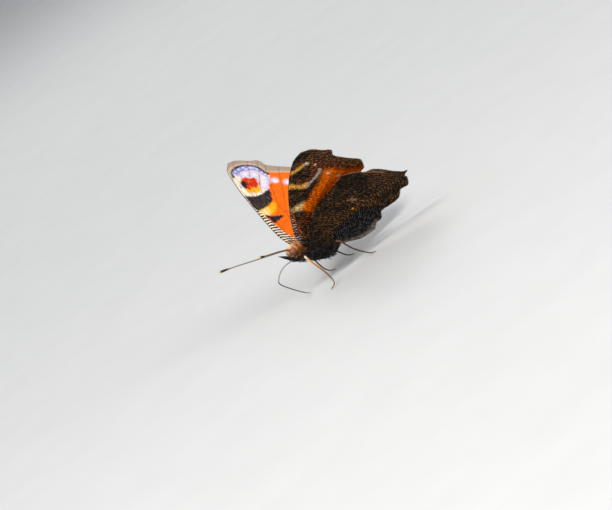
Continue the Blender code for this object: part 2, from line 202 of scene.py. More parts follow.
# Forewing underside as it looks lit from behind: its orange, rust, honey, straw, ash and cream markings
# are painted light that shines through the thin wing and shows the upper side's orange ground, eyespot and
# spots.
FORE_UNDER = [
    ("band", "area", "ember", 0.8, 0, [
        (22.7, -0.9), (22.2, 1.1), (21.7, 3.0), (21.4, 6.6), (20.4, 7.9), (19.2, 7.4), (17.4, 6.8),
        (14.4, 6.9), (12.8, 6.5), (11.7, 7.0), (10.5, 7.9), (9.5, 7.6), (8.9, 6.0), (8.6, 4.4),
        (8.2, 2.8), (7.4, 1.0), (7.6, -4), (23, -4)]),
    ("inner_band", "area", "rust", 0.6, 0, [
        (8.3, 5.4), (7.6, 4.6), (6.2, 2.8), (5.0, 0.8), (6, -4), (9, -4), (8.6, 2.8)]),
    ("outer", "area", "fawn", 1.1, 0, [
        (22.0, -1.5), (22.8, 3.0), (23.0, 9.0), (22.0, 13.0), (19.8, 15.6), (20.8, 17.6), (25, 18),
        (27.5, 12), (27, 6), (26, -2)]),
    ("tip", "area", "night", 0.8, 0, [
        (19.2, 17.2), (21.6, 15.7), (23.2, 14.7), (25.6, 14.4), (25.4, 17.2), (22, 18.4)]),
    ("ochre", "area", "fawn", 0.5, 0, [
        (6.3, 7.2), (5.7, 4.8), (3.5, 2.2), (1.4, 0.8), (2.2, 3.4), (4.4, 5.8)]),
    ("rib", "line", "ember", 0.14, 0.07, [(9.1, 9.2), (6.8, 7.7), (4.9, 5.8), (3.5, 3.8), (2.2, 1.8)]),
    ("base", "area", "rust", 0.8, 0, [(7.3, 6.2), (8.2, 3.6), (6.6, 2.2), (4.9, 2.6), (5.7, 5.0)]),
    ("glow", "area", "rust", 1.0, 0, [
        (24.4, -1.5), (23.7, 1.5), (23.3, 4.5), (23.0, 9), (22.5, 12.2), (21.2, 13.0), (20.4, 11.2),
        (20.8, 9.4), (20.2, 7.6), (20.9, 4), (21.2, -2)]),
    ("disc_rim", "line", "rust", 0.5, 0.42, [
        (22.7, 13.6), (21.9, 11.8), (20.2, 10.4), (18.0, 9.9), (16.9, 11.0), (16.7, 13.1)]),
    ("disc", "area", "night", 0.45, 0, [
        (18.4, 14.3), (20.0, 14.0), (20.9, 12.6), (19.4, 11.2), (17.9, 10.8), (17.2, 11.9),
        (17.4, 13.6)]),
    ("honey", "area", "honey", 0.45, 0, [
        (13.9, 14.2), (15.2, 14.9), (15.6, 12.6), (16.0, 10.8), (16.8, 9.9), (16.4, 9.1), (15.4, 9.1),
        (14.8, 10.4), (14.5, 12.3)]),
    ("apex_bar", "line", "honey", 0.45, 0.5, [
        (18.3, 15.75), (19.2, 15.15), (20.0, 14.65), (20.8, 14.25), (21.2, 14.0)]),
    ("streak", "line", "ash", 0.4, 0.34, [
        (20.8, 9.0), (20.3, 8.6), (19.4, 8.6), (18.2, 8.7), (16.9, 9.1), (15.8, 9.4)]),
    ("pale_dots", "dots", "cream", 0.22, 0.34, [(21.9, 13.75), (21.9, 13.3), (21.95, 11.1)]),
    ("white_dots", "dots", "cream", 0.3, 0.36, [(20.0, 6.15), (19.9, 2.9)]),
    ("cream_wedge", "area", "straw", 0.9, 0, [
        (8.7, 9.5), (9.6, 9.2), (10.6, 8.3), (11.1, 7.6), (10.3, 7.1), (9.3, 7.1), (8.7, 8.2)]),
    ("bar", "line", "black", 0.15, 0.16, [(7.9, 8.4), (8.5, 6.9), (8.8, 5.3), (8.7, 3.6)]),
    ("bar_inner", "line", "black", 0.15, 0.12, [(6.8, 7.2), (7.0, 5.6), (6.9, 4.0)])]
HIND_UPPER = [
    ("front", "area", "brown", 0.8, 0, [
        (-1, 1.2), (2, 7), (11, 9), (22.5, 7.5), (21, 5.2), (14, 5.2), (7, 4.2), (2.4, 2.0)]),
    ("inner", "area", "brown", 0.8, 0, [
        (-1, 0), (1.6, -0.6), (3.4, -3.5), (6.4, -8.0), (8.8, -11.4), (9, -15), (3, -14), (-2, -5)]),
    ("edge", "area", "brown", 0.5, 0, [
        (21.2, 6.8), (20.3, 3.5), (20.2, -1.0), (20.5, -5), (20.0, -9), (17.4, -12.2), (13.6, -11.8),
        (9.8, -10.0), (7.2, -9.6), (3, -13), (12, -18), (25, -18), (26, 5)]),
    ("eye_rim", "dots", "ash", 0.5, 3.3, [(16.9, 1.5)]),
    ("eye_disc", "dots", "black", 0.3, 2.7, [(17.1, 1.35)]),
    ("eye_back", "area", "black", 0.5, 0, [
        (14.6, 4.6), (13.2, 3.2), (13.0, 0.8), (14.2, -1.2), (15.2, -0.4), (14.9, 1.6), (15.6, 3.4)]),
    ("eye_cells", "dots", "blue", 0.35, 0.68, [(17.2, 3.1), (18.2, 2.1), (18.3, 0.7), (17.3, -0.4)]),
    ("root", "area", "ginger", 1.0, 0, [(-1, 3), (2.6, 2.6), (3.4, 0.6), (3.4, -1.8), (1, -4)])]
HIND_UNDER = [
    ("path", "line", "fawn", 1.2, 0.7, [
        (1.2, 1.2), (4.15, -1.1), (6.5, -2.7), (8.9, -4.2), (11.4, -5.6), (13.9, -7.6), (16.6, -9.6),
        (19.4, -11.6)]),
    ("outer", "area", "bark", 1.0, 0, [
        (20.2, 6.5), (18.8, 1.0), (17.8, -3.6), (17.8, -9.6), (20.4, -12.4), (24, -13), (24.5, -4),
        (23, 7)]),
    ("dark", "area", "night", 1.0, 0, [
        (20.6, 6.2), (21.0, 1.5), (20.0, -2.6), (18.0, -3.0), (17.0, 1.1), (16.3, 5.0)]),
    ("tan", "area", "bark", 1.2, 0, [
        (8.0, 4.4), (8.7, 2.0), (9.4, -2.0), (8.3, -3.6), (6.2, -1.6), (4.4, -0.7), (4.7, 2.4)]),
    ("warm", "area", "fawn", 0.7, 0, [
        (13.2, -3.8), (13.7, -6.3), (13.6, -9.3), (12.2, -9.8), (11.6, -6.8), (11.5, -4.4)]),
    ("slate", "area", "slate", 0.8, 0, [
        (3.6, -2.2), (5.6, -3.2), (7.6, -4.8), (9.6, -5.9), (10.5, -7.7), (11.2, -9.9), (11.4, -12.6),
        (11.2, -15.0), (8.8, -13.6), (6.8, -12.4), (4.6, -10.6), (2.6, -8.4), (1.4, -5.4), (1.9, -3.1)]),
    ("anal", "line", "dusk", 0.45, 0.95, [
        (0.9, -5.2), (2.2, -7.9), (3.8, -10.3), (5.6, -11.7), (7.2, -12.2)]),
    ("edge", "line", "clay", 0.5, 0.22, [(21.9, 0.4), (22.2, -2.4), (22.2, -5.6)]),
    ("mark", "line", "clay", 0.3, 0.28, [(12.9, -0.7), (13.15, -2.0), (13.1, -3.3)]),
    ("mark_side", "dots", "clay", 0.35, 0.3, [(13.7, -1.6), (12.6, -2.6)]),
    ("dot", "dots", "amber", 0.22, 0.3, [(10.47, -4.13)])]

# The two pairs of wings.
FOREWING = SimpleNamespace(
    name="forewing", rows=120, split=12, folded=False, base=FORE_BASE, poses=FORE_POSE,
    costa=FORE_COSTA, dorsum=FORE_DORSUM, margin=FORE_MARGIN, veins=FORE_VEINS, upper=FORE_UPPER,
    under=FORE_UNDER)
HINDWING = SimpleNamespace(
    name="hindwing", rows=110, split=7, folded=True, base=HIND_BASE, poses=HIND_POSE,
    costa=HIND_COSTA, dorsum=HIND_DORSUM, margin=HIND_MARGIN, veins=HIND_VEINS, upper=HIND_UPPER,
    under=HIND_UNDER)

# Body: centre and three half axes (forward, sideways, up), less the depth of the coat.
THORAX = ((-2.6, 0.0, -1.2), (4.9, 2.4, 2.75))
THORAX_TILT = 20.0      # how far its front end is raised
COLLAR = ((1.5, 0.0, 0.75), (1.1, 1.35, 1.4))
HEAD = ((3.65, 0.0, 1.6), (1.2, 1.4, 1.3))
EYE = ((3.85, 1.15, 1.7), (0.85, 0.52, 0.95))
NECK = ((2.7, 0.0, 0.9), (1.2, 0.9, 0.9))
CHEST = ((2.2, 0.0, -0.25), (1.1, 1.1, 0.85))
COXAE = [((0.2, 1.0, -1.9), (0.6, 0.5, 0.6)), ((-2.6, 1.15, -3.1), (0.6, 0.5, 0.6)),
         ((1.0, 0.9, -1.6), (0.5, 0.45, 0.45))]
ABDOMEN_AXIS = [(-3.6, 0.0, -1.1), (-7.5, 0.0, -1.35), (-12.0, 0.0, -1.9), (-16.6, 0.0, -2.9)]
ABDOMEN_RADII = [1.8, 2.0, 1.75, 0.95]
PALP = [(3.6, 0.68, -0.6), (4.35, 0.68, -0.2), (5.15, 0.75, 0.9), (6.1, 0.6, 1.85), (7.1, 0.5, 2.8)]
PALP_RADII = [0.3, 0.36, 0.36, 0.32, 0.25]
PROBOSCIS = [(5.0, 0.0, 0.15), (7.0, 0.0, 0.2), (8.8, 0.0, -0.3), (10.2, 0.0, -1.35),
             (10.6, 0.0, -2.4), (9.2, 0.0, -4.6), (6.9, 0.0, -7.4), (5.6, 0.0, -8.5)]
ANTENNA = {"left": [(4.5, 0.6, 2.75), (7.5, 3.7, 4.3), (11.3, 7.7, 6.0), (13.9, 10.4, 7.15),
                    (15.3, 11.8, 7.75)],
           "right": [(4.5, 0.6, 2.75), (8.2, 3.9, 3.75), (12.3, 7.7, 4.9), (15.3, 10.4, 5.7),
                     (16.8, 11.8, 6.0)]}
LEG_RADII = [0.45, 0.42, 0.36, 0.28, 0.25, 0.25]
FORELEG = [(0.9, 0.95, -1.75), (2.0, 1.1, -1.5), (2.9, 1.15, -0.9), (3.3, 1.1, -0.45)]
HINDLEG = [(-2.7, 1.2, -3.4), (-3.8, 2.7, -3.4), (-5.2, 4.2, -1.9), (-7.1, 5.0, -5.5),
           (-9.1, 6.0, -8.1), (-10.3, 6.0, -8.85)]
LEGS = {"foreleg": ({"left": FORELEG, "right": FORELEG}, [0.36, 0.4, 0.34, 0.26]),
        "midleg": ({"left": [(0.3, 1.1, -2.0), (1.7, 2.4, -1.7), (3.15, 3.5, -0.45),
                             (2.35, 6.5, -5.3), (2.4, 7.8, -8.0), (3.4, 7.9, -8.85)],
                    "right": [(0.3, 1.1, -2.0), (-0.2, 2.9, -1.9), (-0.7, 4.6, -0.9),
                              (-2.1, 5.6, -6.1), (-3.1, 5.8, -8.1), (-4.2, 5.8, -8.85)]},
                   LEG_RADII),
        "hindleg": ({"left": HINDLEG, "right": HINDLEG}, LEG_RADII)}
REGIONS = {"thorax": 0, "head": 1, "abdomen": 2, "limb": 3, "palp": 4}
ANTENNA_RINGS = 44
ANTENNA_STEPS, PROBOSCIS_STEPS = 160, 180
FLOOR_HALF = 5.0        # metres

# Unwrapped surfaces, as shares of their sheet.
SHEET_SPAN = 2.08       # wing lengths across the sheet that holds both faces of a wing
SHEET_MARGIN = 0.01
RIM_SPREAD = 1.012      # how far the rim stands out from the blade's face
PATCH_SIZE = 0.003      # side of the patch that one tuft takes

# Camera: directions of the picture's right, of its down and away from the camera.
PICTURE_RIGHT = (0.735, -0.393, -0.553)
PICTURE_DOWN = (-0.585, 0.044, -0.810)
AWAY = (0.342, 0.919, -0.198)
CAMERA_DISTANCE = 828.5
CAMERA_SHIFT = (-0.584, 1.533)      # right and down, in its own plane
LENS = 214.3


def linear(red, green, blue):
    """Scene colour for a colour given as display values from 0 to 255."""
    def channel(v):
        v /= 255
        return v / 12.92 if v <= 0.04045 else ((v + 0.055) / 1.055) ** 2.4
    return (channel(red), channel(green), channel(blue), 1.0)


PAINTS = {"orange": (250, 108, 0), "red": (196, 44, 2), "blue": (122, 120, 176),
          "lavender": (212, 197, 208), "white": (226, 228, 246), "cream": (234, 222, 194),
          "yellow": (250, 172, 12), "amber": (250, 140, 14), "black": (34, 27, 32),
          "pale": (164, 142, 124), "brown": (84, 60, 42), "ember": (240, 108, 2),
          "rust": (140, 58, 12), "umber": (42, 26, 14), "honey": (242, 174, 76),
          "ash": (206, 184, 168), "bark": (76, 48, 27), "slate": (20, 19, 20),
          "dusk": (108, 98, 88), "clay": (158, 114, 82), "gold": (244, 160, 30),
          "ginger": (200, 118, 46), "night": (20, 13, 7),
          "straw": (246, 210, 134), "fawn": (104, 68, 38), "pearl": (200, 200, 236),
          "rose": (214, 150, 164), "sand": (214, 188, 156)}
DULL = ("rust", "umber", "bark", "slate", "fawn", "night")      # paints that lie under the fine lines


class ButterflyColours(bpy.types.PropertyGroup):
    """Colours of the wings and the coat."""


class ButterflySizes(bpy.types.PropertyGroup):
    """Sizes of the fine parts."""

    wing_wall: bpy.props.FloatProperty(
        name="Wing wall", description="Thickness of the wing blade at its root",
        default=0.16 * MM, min=0.05 * MM, max=0.4 * MM, precision=5, unit="LENGTH")
    vein_height: bpy.props.FloatProperty(
        name="Vein height", description="How far the veins stand proud of the blade",
        default=0.06 * MM, min=0.0, max=0.2 * MM, precision=5, unit="LENGTH")
    fringe_length: bpy.props.FloatProperty(
        name="Fringe length", description="Length of the scales along the outer margin",
        default=0.42 * MM, min=0.1 * MM, max=0.9 * MM, precision=5, unit="LENGTH")
    hair_length: bpy.props.FloatProperty(
        name="Hair length", description="Length of the hair against the modelled length",
        default=1.0, min=0.4, max=1.3, subtype="FACTOR")
    hair_density: bpy.props.FloatProperty(
        name="Hair density", description="Number of tufts against the modelled number",
        default=1.0, min=0.1, max=1.2, subtype="FACTOR")
    skin_cell: bpy.props.FloatProperty(
        name="Skin cell", description="Size of the cells that the skin is drawn in",
        default=0.1 * MM, min=0.08 * MM, max=0.3 * MM, precision=5, unit="LENGTH")


for paint, shade in PAINTS.items():
    ButterflyColours.__annotations__[paint] = bpy.props.FloatVectorProperty(
        name=paint.capitalize(), description=f"The {paint} of the wings or coat",
        default=linear(*shade), size=4, min=0.0, max=1.0, subtype="COLOR")


class Value:
    """A shader or geometry number; arithmetic on it adds Math nodes."""

    def __init__(self, tree, socket):
        self.tree = tree
        self.socket = socket

    def __add__(self, other):
        return self.tree.number("ADD", self, other)

    def __sub__(self, other):
        return self.tree.number("SUBTRACT", self, other)

    def __rsub__(self, other):
        return self.tree.number("SUBTRACT", other, self)

    def __mul__(self, other):
        return self.tree.number("MULTIPLY", self, other)

    __radd__ = __add__
    __rmul__ = __mul__


class Tree:
    """Adds nodes to a node tree."""

    def __init__(self, tree):
        self.tree = tree

    def add(self, kind, settings=None, inputs=None):
        """A node of that type, with its settings made first and then its sockets filled."""
        node = self.tree.nodes.new(kind)
        for key, value in (settings or {}).items():
            setattr(node, key, value)
        for key, value in (inputs or {}).items():
            self.fill(node.inputs[key], value)
        return node

    def get(self, kind, settings=None, inputs=None, output=0):
        """One output of a new node."""
        return self.add(kind, settings, inputs).outputs[output]

    def value(self, *node):
        """One output of a new node, as a number to work with."""
        return Value(self, self.get(*node))

    def fill(self, socket, value):
        """Link a value to a socket, or set the socket to it."""
        if isinstance(value, Value):
            value = value.socket
        if isinstance(value, bpy.types.NodeSocket):
            self.tree.links.new(value, socket)
        else:
            socket.default_value = value

    def number(self, operation, *terms):
        return self.value("ShaderNodeMath", {"operation": operation}, dict(enumerate(terms)))

    def vector(self, operation, inputs):
        return self.get("ShaderNodeVectorMath", {"operation": operation}, inputs)


class Finish(Tree):
    """A material's nodes, ending in one Principled shader."""

    def __init__(self, name, **constants):
        self.material = bpy.data.materials.new(name)
        self.material.use_nodes = True
        super().__init__(self.material.node_tree)
        self.shader = self.tree.nodes["Principled BSDF"]
        for socket, value in constants.items():
            self.shader.inputs[socket.replace("_", " ")].default_value = value

    def smooth(self, value, low, high, at_low=0.0, at_high=1.0):
        """Smooth step from one level to another."""
        levels = {"Value": value, "From Min": low, "From Max": high, "To Min": at_low,
                  "To Max": at_high}
        return self.value("ShaderNodeMapRange", {"interpolation_type": "SMOOTHSTEP"}, levels, "Result")

    def mix(self, factor, first, second, blend="MIX"):
        """Colour mixed from two, each a socket, a colour or the name of a paint."""
        first, second = (paint_of(c) if isinstance(c, str) else c for c in (first, second))
        return self.get("ShaderNodeMix", {"data_type": "RGBA", "blend_type": blend},
                        {0: factor, 6: first, 7: second}, 2)

    def times(self, colour, factor):
        """A colour times another, or times a number."""
        if isinstance(factor, Value):
            factor = self.get("ShaderNodeCombineColor", None, {k: factor for k in range(3)})
        return self.mix(1.0, colour, factor, "MULTIPLY")

    def scaled(self, vector, *factors):
        """Vector times three factors."""
        return self.vector("MULTIPLY", {0: vector, 1: factors})

    def axis(self, vector, name):
        """One coordinate of a vector."""
        return self.value("ShaderNodeSeparateXYZ", None, {0: vector}, name)

    def field(self, name):
        """A number stored on the mesh."""
        return self.value("ShaderNodeAttribute", {"attribute_name": name}, None, "Fac")

    def tint(self):
        """The colour stored on the mesh."""
        return self.get("ShaderNodeAttribute", {"attribute_name": "tint"}, None, "Color")

    def place(self, scale=1000):
        """The point on the object, in millimetres or as many times the metre."""
        return self.scaled(self.get("ShaderNodeTexCoord", None, None, "Object"), scale, scale, scale)

    def noise(self, vector, scale, detail=2.0):
        return self.value("ShaderNodeTexNoise", None,
                          {"Vector": vector, "Scale": scale, "Detail": detail}, "Fac")

    def grain(self, scale, detail=2.0):
        """Noise fixed to the object."""
        return self.noise(self.place(), scale, detail)

    def cells(self, vector, scale, output="Distance"):
        return self.value("ShaderNodeTexVoronoi", None, {"Vector": vector, "Scale": scale}, output)

    def end(self, colour, roughness, height=None, strength=0.4, depth=0.03 * MM):
        """Feed the shader its colour, roughness and bump, and give the material."""
        self.fill(self.shader.inputs["Base Color"], colour)
        self.fill(self.shader.inputs["Roughness"], roughness)
        if height is not None:
            bump = {"Strength": strength, "Distance": depth, "Height": height}
            self.fill(self.shader.inputs["Normal"], self.get("ShaderNodeBump", None, bump, "Normal"))
        return self.material


class WingFinish(Finish):
    """One side of a wing: rows of scales, and markings whose edges fray along the veins."""

    def __init__(self, name, prefix, shine, tear, fray):
        super().__init__(name, Specular_IOR_Level=shine)
        self.prefix = prefix
        self.plan, self.blade = (self.get("ShaderNodeUVMap", {"uv_map": layer}, None, "UV")
                                 for layer in ("Plan", "Blade"))
        self.along = self.axis(self.blade, "X")
        rows = self.scaled(self.plan, 5.2, 8.6, 1.0)
        self.relief = self.cells(rows, 1.0)
        self.tone = self.value("ShaderNodeSeparateColor", None, {0: self.cells(rows, 1.0, "Color")})
        self.streak = self.noise(self.scaled(self.blade, 0.55, 2.6, 1.0), 1.0, 3.0)
        self.wobble = ((self.noise(self.plan, 3.2, 3.0) - 0.5) * tear + (self.streak - 0.5) * fray
                       + (self.tone - 0.5) * 0.16)

    def cover(self, marking, low, high, wobble=None):
        """One inside a marking and nothing outside it."""
        distance = self.field(self.prefix + marking) + (wobble or self.wobble)
        return self.smooth(distance, low, high, 1.0, 0.0)

    def painted(self, colour, markings):
        """Lay the markings over a ground colour."""
        for name, _, paint, softness, _, _ in markings:
            colour = self.mix(self.cover(name, -softness, softness), colour, paint)
        return colour

    def striped(self, colour, dark, light, reach):
        """Short cross stripes along the inner half of the leading edge."""
        along, plan = self.along, self.plan
        wave = self.number("SINE", along * (2 * math.pi / 0.8) + self.noise(plan, 1.2) * 5)
        past = self.field("costa") + self.noise(plan, 3.0) * 0.5 - (3.3 - along * 0.19) * reach
        near = self.smooth(past, 0.0, 0.3, 1.0, 0.0)
        inner = self.smooth(along, 12.5, 14.5, 1.0, 0.0) * self.smooth(along, 0.6, 1.6)
        stripe = self.mix(self.smooth(wave, -0.3, 0.3), dark, light)
        return self.mix(near * inner, colour, stripe)


def paint_of(name):
    """A colour from the panel."""
    return tuple(getattr(bpy.context.scene.butterfly_colours, name))


def sizes():
    return bpy.context.scene.butterfly_sizes


def to_frame(points):
    """Metres in the frame for body points in millimetres."""
    return (np.asarray(points, dtype=float) * WAY + BASES) * MM


def to_body(points):
    """Body points in millimetres for metres in the frame."""
    return (np.asarray(points, dtype=float) / MM - BASES) * WAY


def mirrored(points, side):
    """Left-hand body points, or their mirror image for the right side."""
    return np.array(points, dtype=float) * (1, -1 if side == "right" else 1, 1)


def unit(vectors):
    """Vectors brought to length one."""
    return vectors / np.maximum(np.linalg.norm(vectors, axis=-1, keepdims=True), 1e-9)


def smooth_line(points, steps, closed=False):
    """Catmull-Rom curve through the points, with the given number of steps between them."""
    pts = [np.array(p, dtype=float) for p in points]
    if closed:
        pts = [pts[-1]] + pts + pts[:2]
    else:
        pts = [2 * pts[0] - pts[1]] + pts + [2 * pts[-1] - pts[-2]]
    line = []
    for a, b, c, d in zip(pts, pts[1:], pts[2:], pts[3:]):
        for j in range(steps):
            t = j / steps
            line.append(0.5 * (2 * b + (c - a) * t + (2 * a - 5 * b + 4 * c - d) * t ** 2
                               + (3 * b - a - 3 * c + d) * t ** 3))
    line.append(pts[-2])
    return np.array(line)


def smooth_row(numbers, steps):
    """Smooth curve through single numbers."""
    return smooth_line([(number,) for number in numbers], steps)[:, 0]


def line_lengths(line):
    """Length along a line at each of its points."""
    return np.concatenate([[0.0], np.cumsum(np.linalg.norm(np.diff(line, axis=0), axis=1))])


def at_fractions(line, fractions):
    """Points at fractions of a line's length."""
    lengths = line_lengths(line)
    target = np.asarray(fractions) * lengths[-1]
    return np.stack([np.interp(target, lengths, line[:, k]) for k in range(line.shape[1])], -1)


def line_distance(points, line):
    """Distance of points to a line, and the place along the line where it is nearest."""
    best = np.full(len(points), np.inf)
    place = np.zeros(len(points))
    for i in range(len(line) - 1):
        a, step = line[i], line[i + 1] - line[i]
        t = np.clip((points - a) @ step / max(step @ step, 1e-12), 0, 1)
        distance = np.linalg.norm(points - a - t[:, None] * step, axis=1)
        nearer = distance < best
        best[nearer] = distance[nearer]
        place[nearer] = i + t[nearer]
    return best, place


def nearest_index(places, line):
    """Index of the line's point nearest to each place along it."""
    return np.clip(places.round().astype(int), 0, len(line) - 1)


def marking_distance(points, kind, half_width, shape):
    """How far plan points lie outside a marking, negative inside it."""
    if kind == "dots":
        nearest = [np.linalg.norm(points - np.array(dot), axis=1) for dot in shape]
        return np.min(nearest, axis=0) - half_width
    line = smooth_line(shape, 5, kind == "area")
    distance = line_distance(points, line)[0]
    if kind == "line":
        return distance - half_width
    inside = np.zeros(len(points), dtype=bool)
    x, y = points[:, 0], points[:, 1]
    for (x0, y0), (x1, y1) in zip(line[:-1], line[1:]):
        if y0 != y1:
            inside ^= ((y0 > y) != (y1 > y)) & (x < (x1 - x0) * (y - y0) / (y1 - y0) + x0)
    return np.where(inside, -distance, distance)


def link(name, mesh):
    """Object of a mesh, in the scene."""
    obj = bpy.data.objects.new(name, mesh)
    bpy.context.scene.collection.objects.link(obj)
    return obj


def new_object(name, points, faces, materials=(), edges=()):
    """Mesh object at the origin."""
    mesh = bpy.data.meshes.new(name)
    mesh.from_pydata([tuple(p) for p in points], edges, faces)
    for material in materials:
        mesh.materials.append(material)
    mesh.shade_smooth()
    return link(name, mesh)


def evaluated_mesh(obj):
    """Plain mesh of an object with its modifiers applied, which are then taken off."""
    graph = bpy.context.evaluated_depsgraph_get()
    graph.update()
    mesh = bpy.data.meshes.new_from_object(obj.evaluated_get(graph))
    obj.modifiers.clear()
    return mesh


def store(obj, name, values, kind="FLOAT"):
    """Store one value for each point of the mesh."""
    attribute = obj.data.attributes.get(name) or obj.data.attributes.new(name, kind, "POINT")
    key = {"FLOAT": "value", "INT": "value", "FLOAT_VECTOR": "vector", "FLOAT_COLOR": "color"}[kind]
    values = np.asarray(values, dtype=np.int32 if kind == "INT" else np.float32)
    attribute.data.foreach_set(key, values.ravel())


def read(items, key, width, kind=np.float32):
    """Values of a mesh's items, one row for each."""
    values = np.empty(len(items) * width, dtype=kind)
    items.foreach_get(key, values)
    return values.reshape(-1, width)


def strip(obj, *names):
    """Take working attributes off a finished piece."""
    for name in names:
        attribute = obj.data.attributes.get(name)
        if attribute:
            obj.data.attributes.remove(attribute)


def store_uv(obj, name, corner_values):
    """UV map from one pair of values for each face corner."""
    layer = obj.data.uv_layers.get(name) or obj.data.uv_layers.new(name=name)
    layer.data.foreach_set("uv", np.asarray(corner_values, dtype=np.float32).ravel())


def corner_points(mesh):
    """Index of the point at each face corner."""
    return read(mesh.loops, "vertex_index", 1, np.int32)[:, 0]


def settle(piece, slot, *nodes):
    """A finished piece rides on the frame's one body and stands for its CAD nodes."""
    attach(piece, "root")
    if nodes:
        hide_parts(*nodes)


def turn(a, b, degrees):
    """Turn the pair (a, b) by an angle."""
    c, s = math.cos(math.radians(degrees)), math.sin(math.radians(degrees))
    return a * c - b * s, a * s + b * c


def wing_plan(wing, rows):
    """Grid of plan points: the wing's four edges blended, its teeth fading in from the rim."""
    top, bottom = smooth_line(wing.costa, 12), smooth_line(wing.dorsum, 12)
    rim = smooth_line(wing.margin, wing.split)
    columns = len(rim) - 1
    u = np.linspace(0, 1, rows + 1)[:, None, None]
    v = np.linspace(0, 1, columns + 1)[None, :, None]
    upper, lower = (at_fractions(edge, u[:, 0, 0])[:, None] for edge in (top, bottom))
    inner = top[0] + (bottom[0] - top[0]) * v
    widest = round(TOOTH_REACH * wing.split)
    broad = []
    for column in range(columns + 1):
        reach = min(widest, column, columns - column)
        broad.append(rim[column - reach:column + reach + 1].mean(axis=0))
    broad = np.array(broad)[None]
    outer = broad + (rim[None] - broad) * u ** TOOTH_FADE
    corners = ((1 - u) * (1 - v) * top[0] + (1 - u) * v * bottom[0]
               + u * (1 - v) * top[-1] + u * v * bottom[-1])
    return (1 - v) * upper + v * lower + (1 - u) * inner + u * outer - corners


def wing_pose(wing, side, flat):
    """Body points and normals of plan points: bend, sweep, twist, inner fold, then elevation."""
    elevation, sweep, twist = wing.poses[side]
    rate = math.radians(WING_BEND) / BEND_SPAN
    outward, forward = flat[..., 0], flat[..., 1]
    x, y, z = forward, np.sin(rate * outward) / rate, (1 - np.cos(rate * outward)) / rate
    x, y = turn(x, y, sweep)
    x, z = turn(x, z, twist)
    if wing.folded:
        inward = np.maximum(FOLD_LINE - y, 0)
        bent = np.minimum(inward / FOLD_RADIUS, math.radians(FOLD_TURN))
        rest = inward - bent * FOLD_RADIUS
        turned = FOLD_LINE - FOLD_RADIUS * np.sin(bent) - rest * np.cos(bent)
        drop = FOLD_RADIUS * (1 - np.cos(bent)) + rest * np.sin(bent)
        y, z = np.where(inward > 0, turned, y), z - drop
    y, z = turn(y, z, elevation)
    body = np.stack([x, y, z], axis=-1) + wing.base
    return body, unit(np.cross(np.gradient(body, axis=0), np.gradient(body, axis=1)))


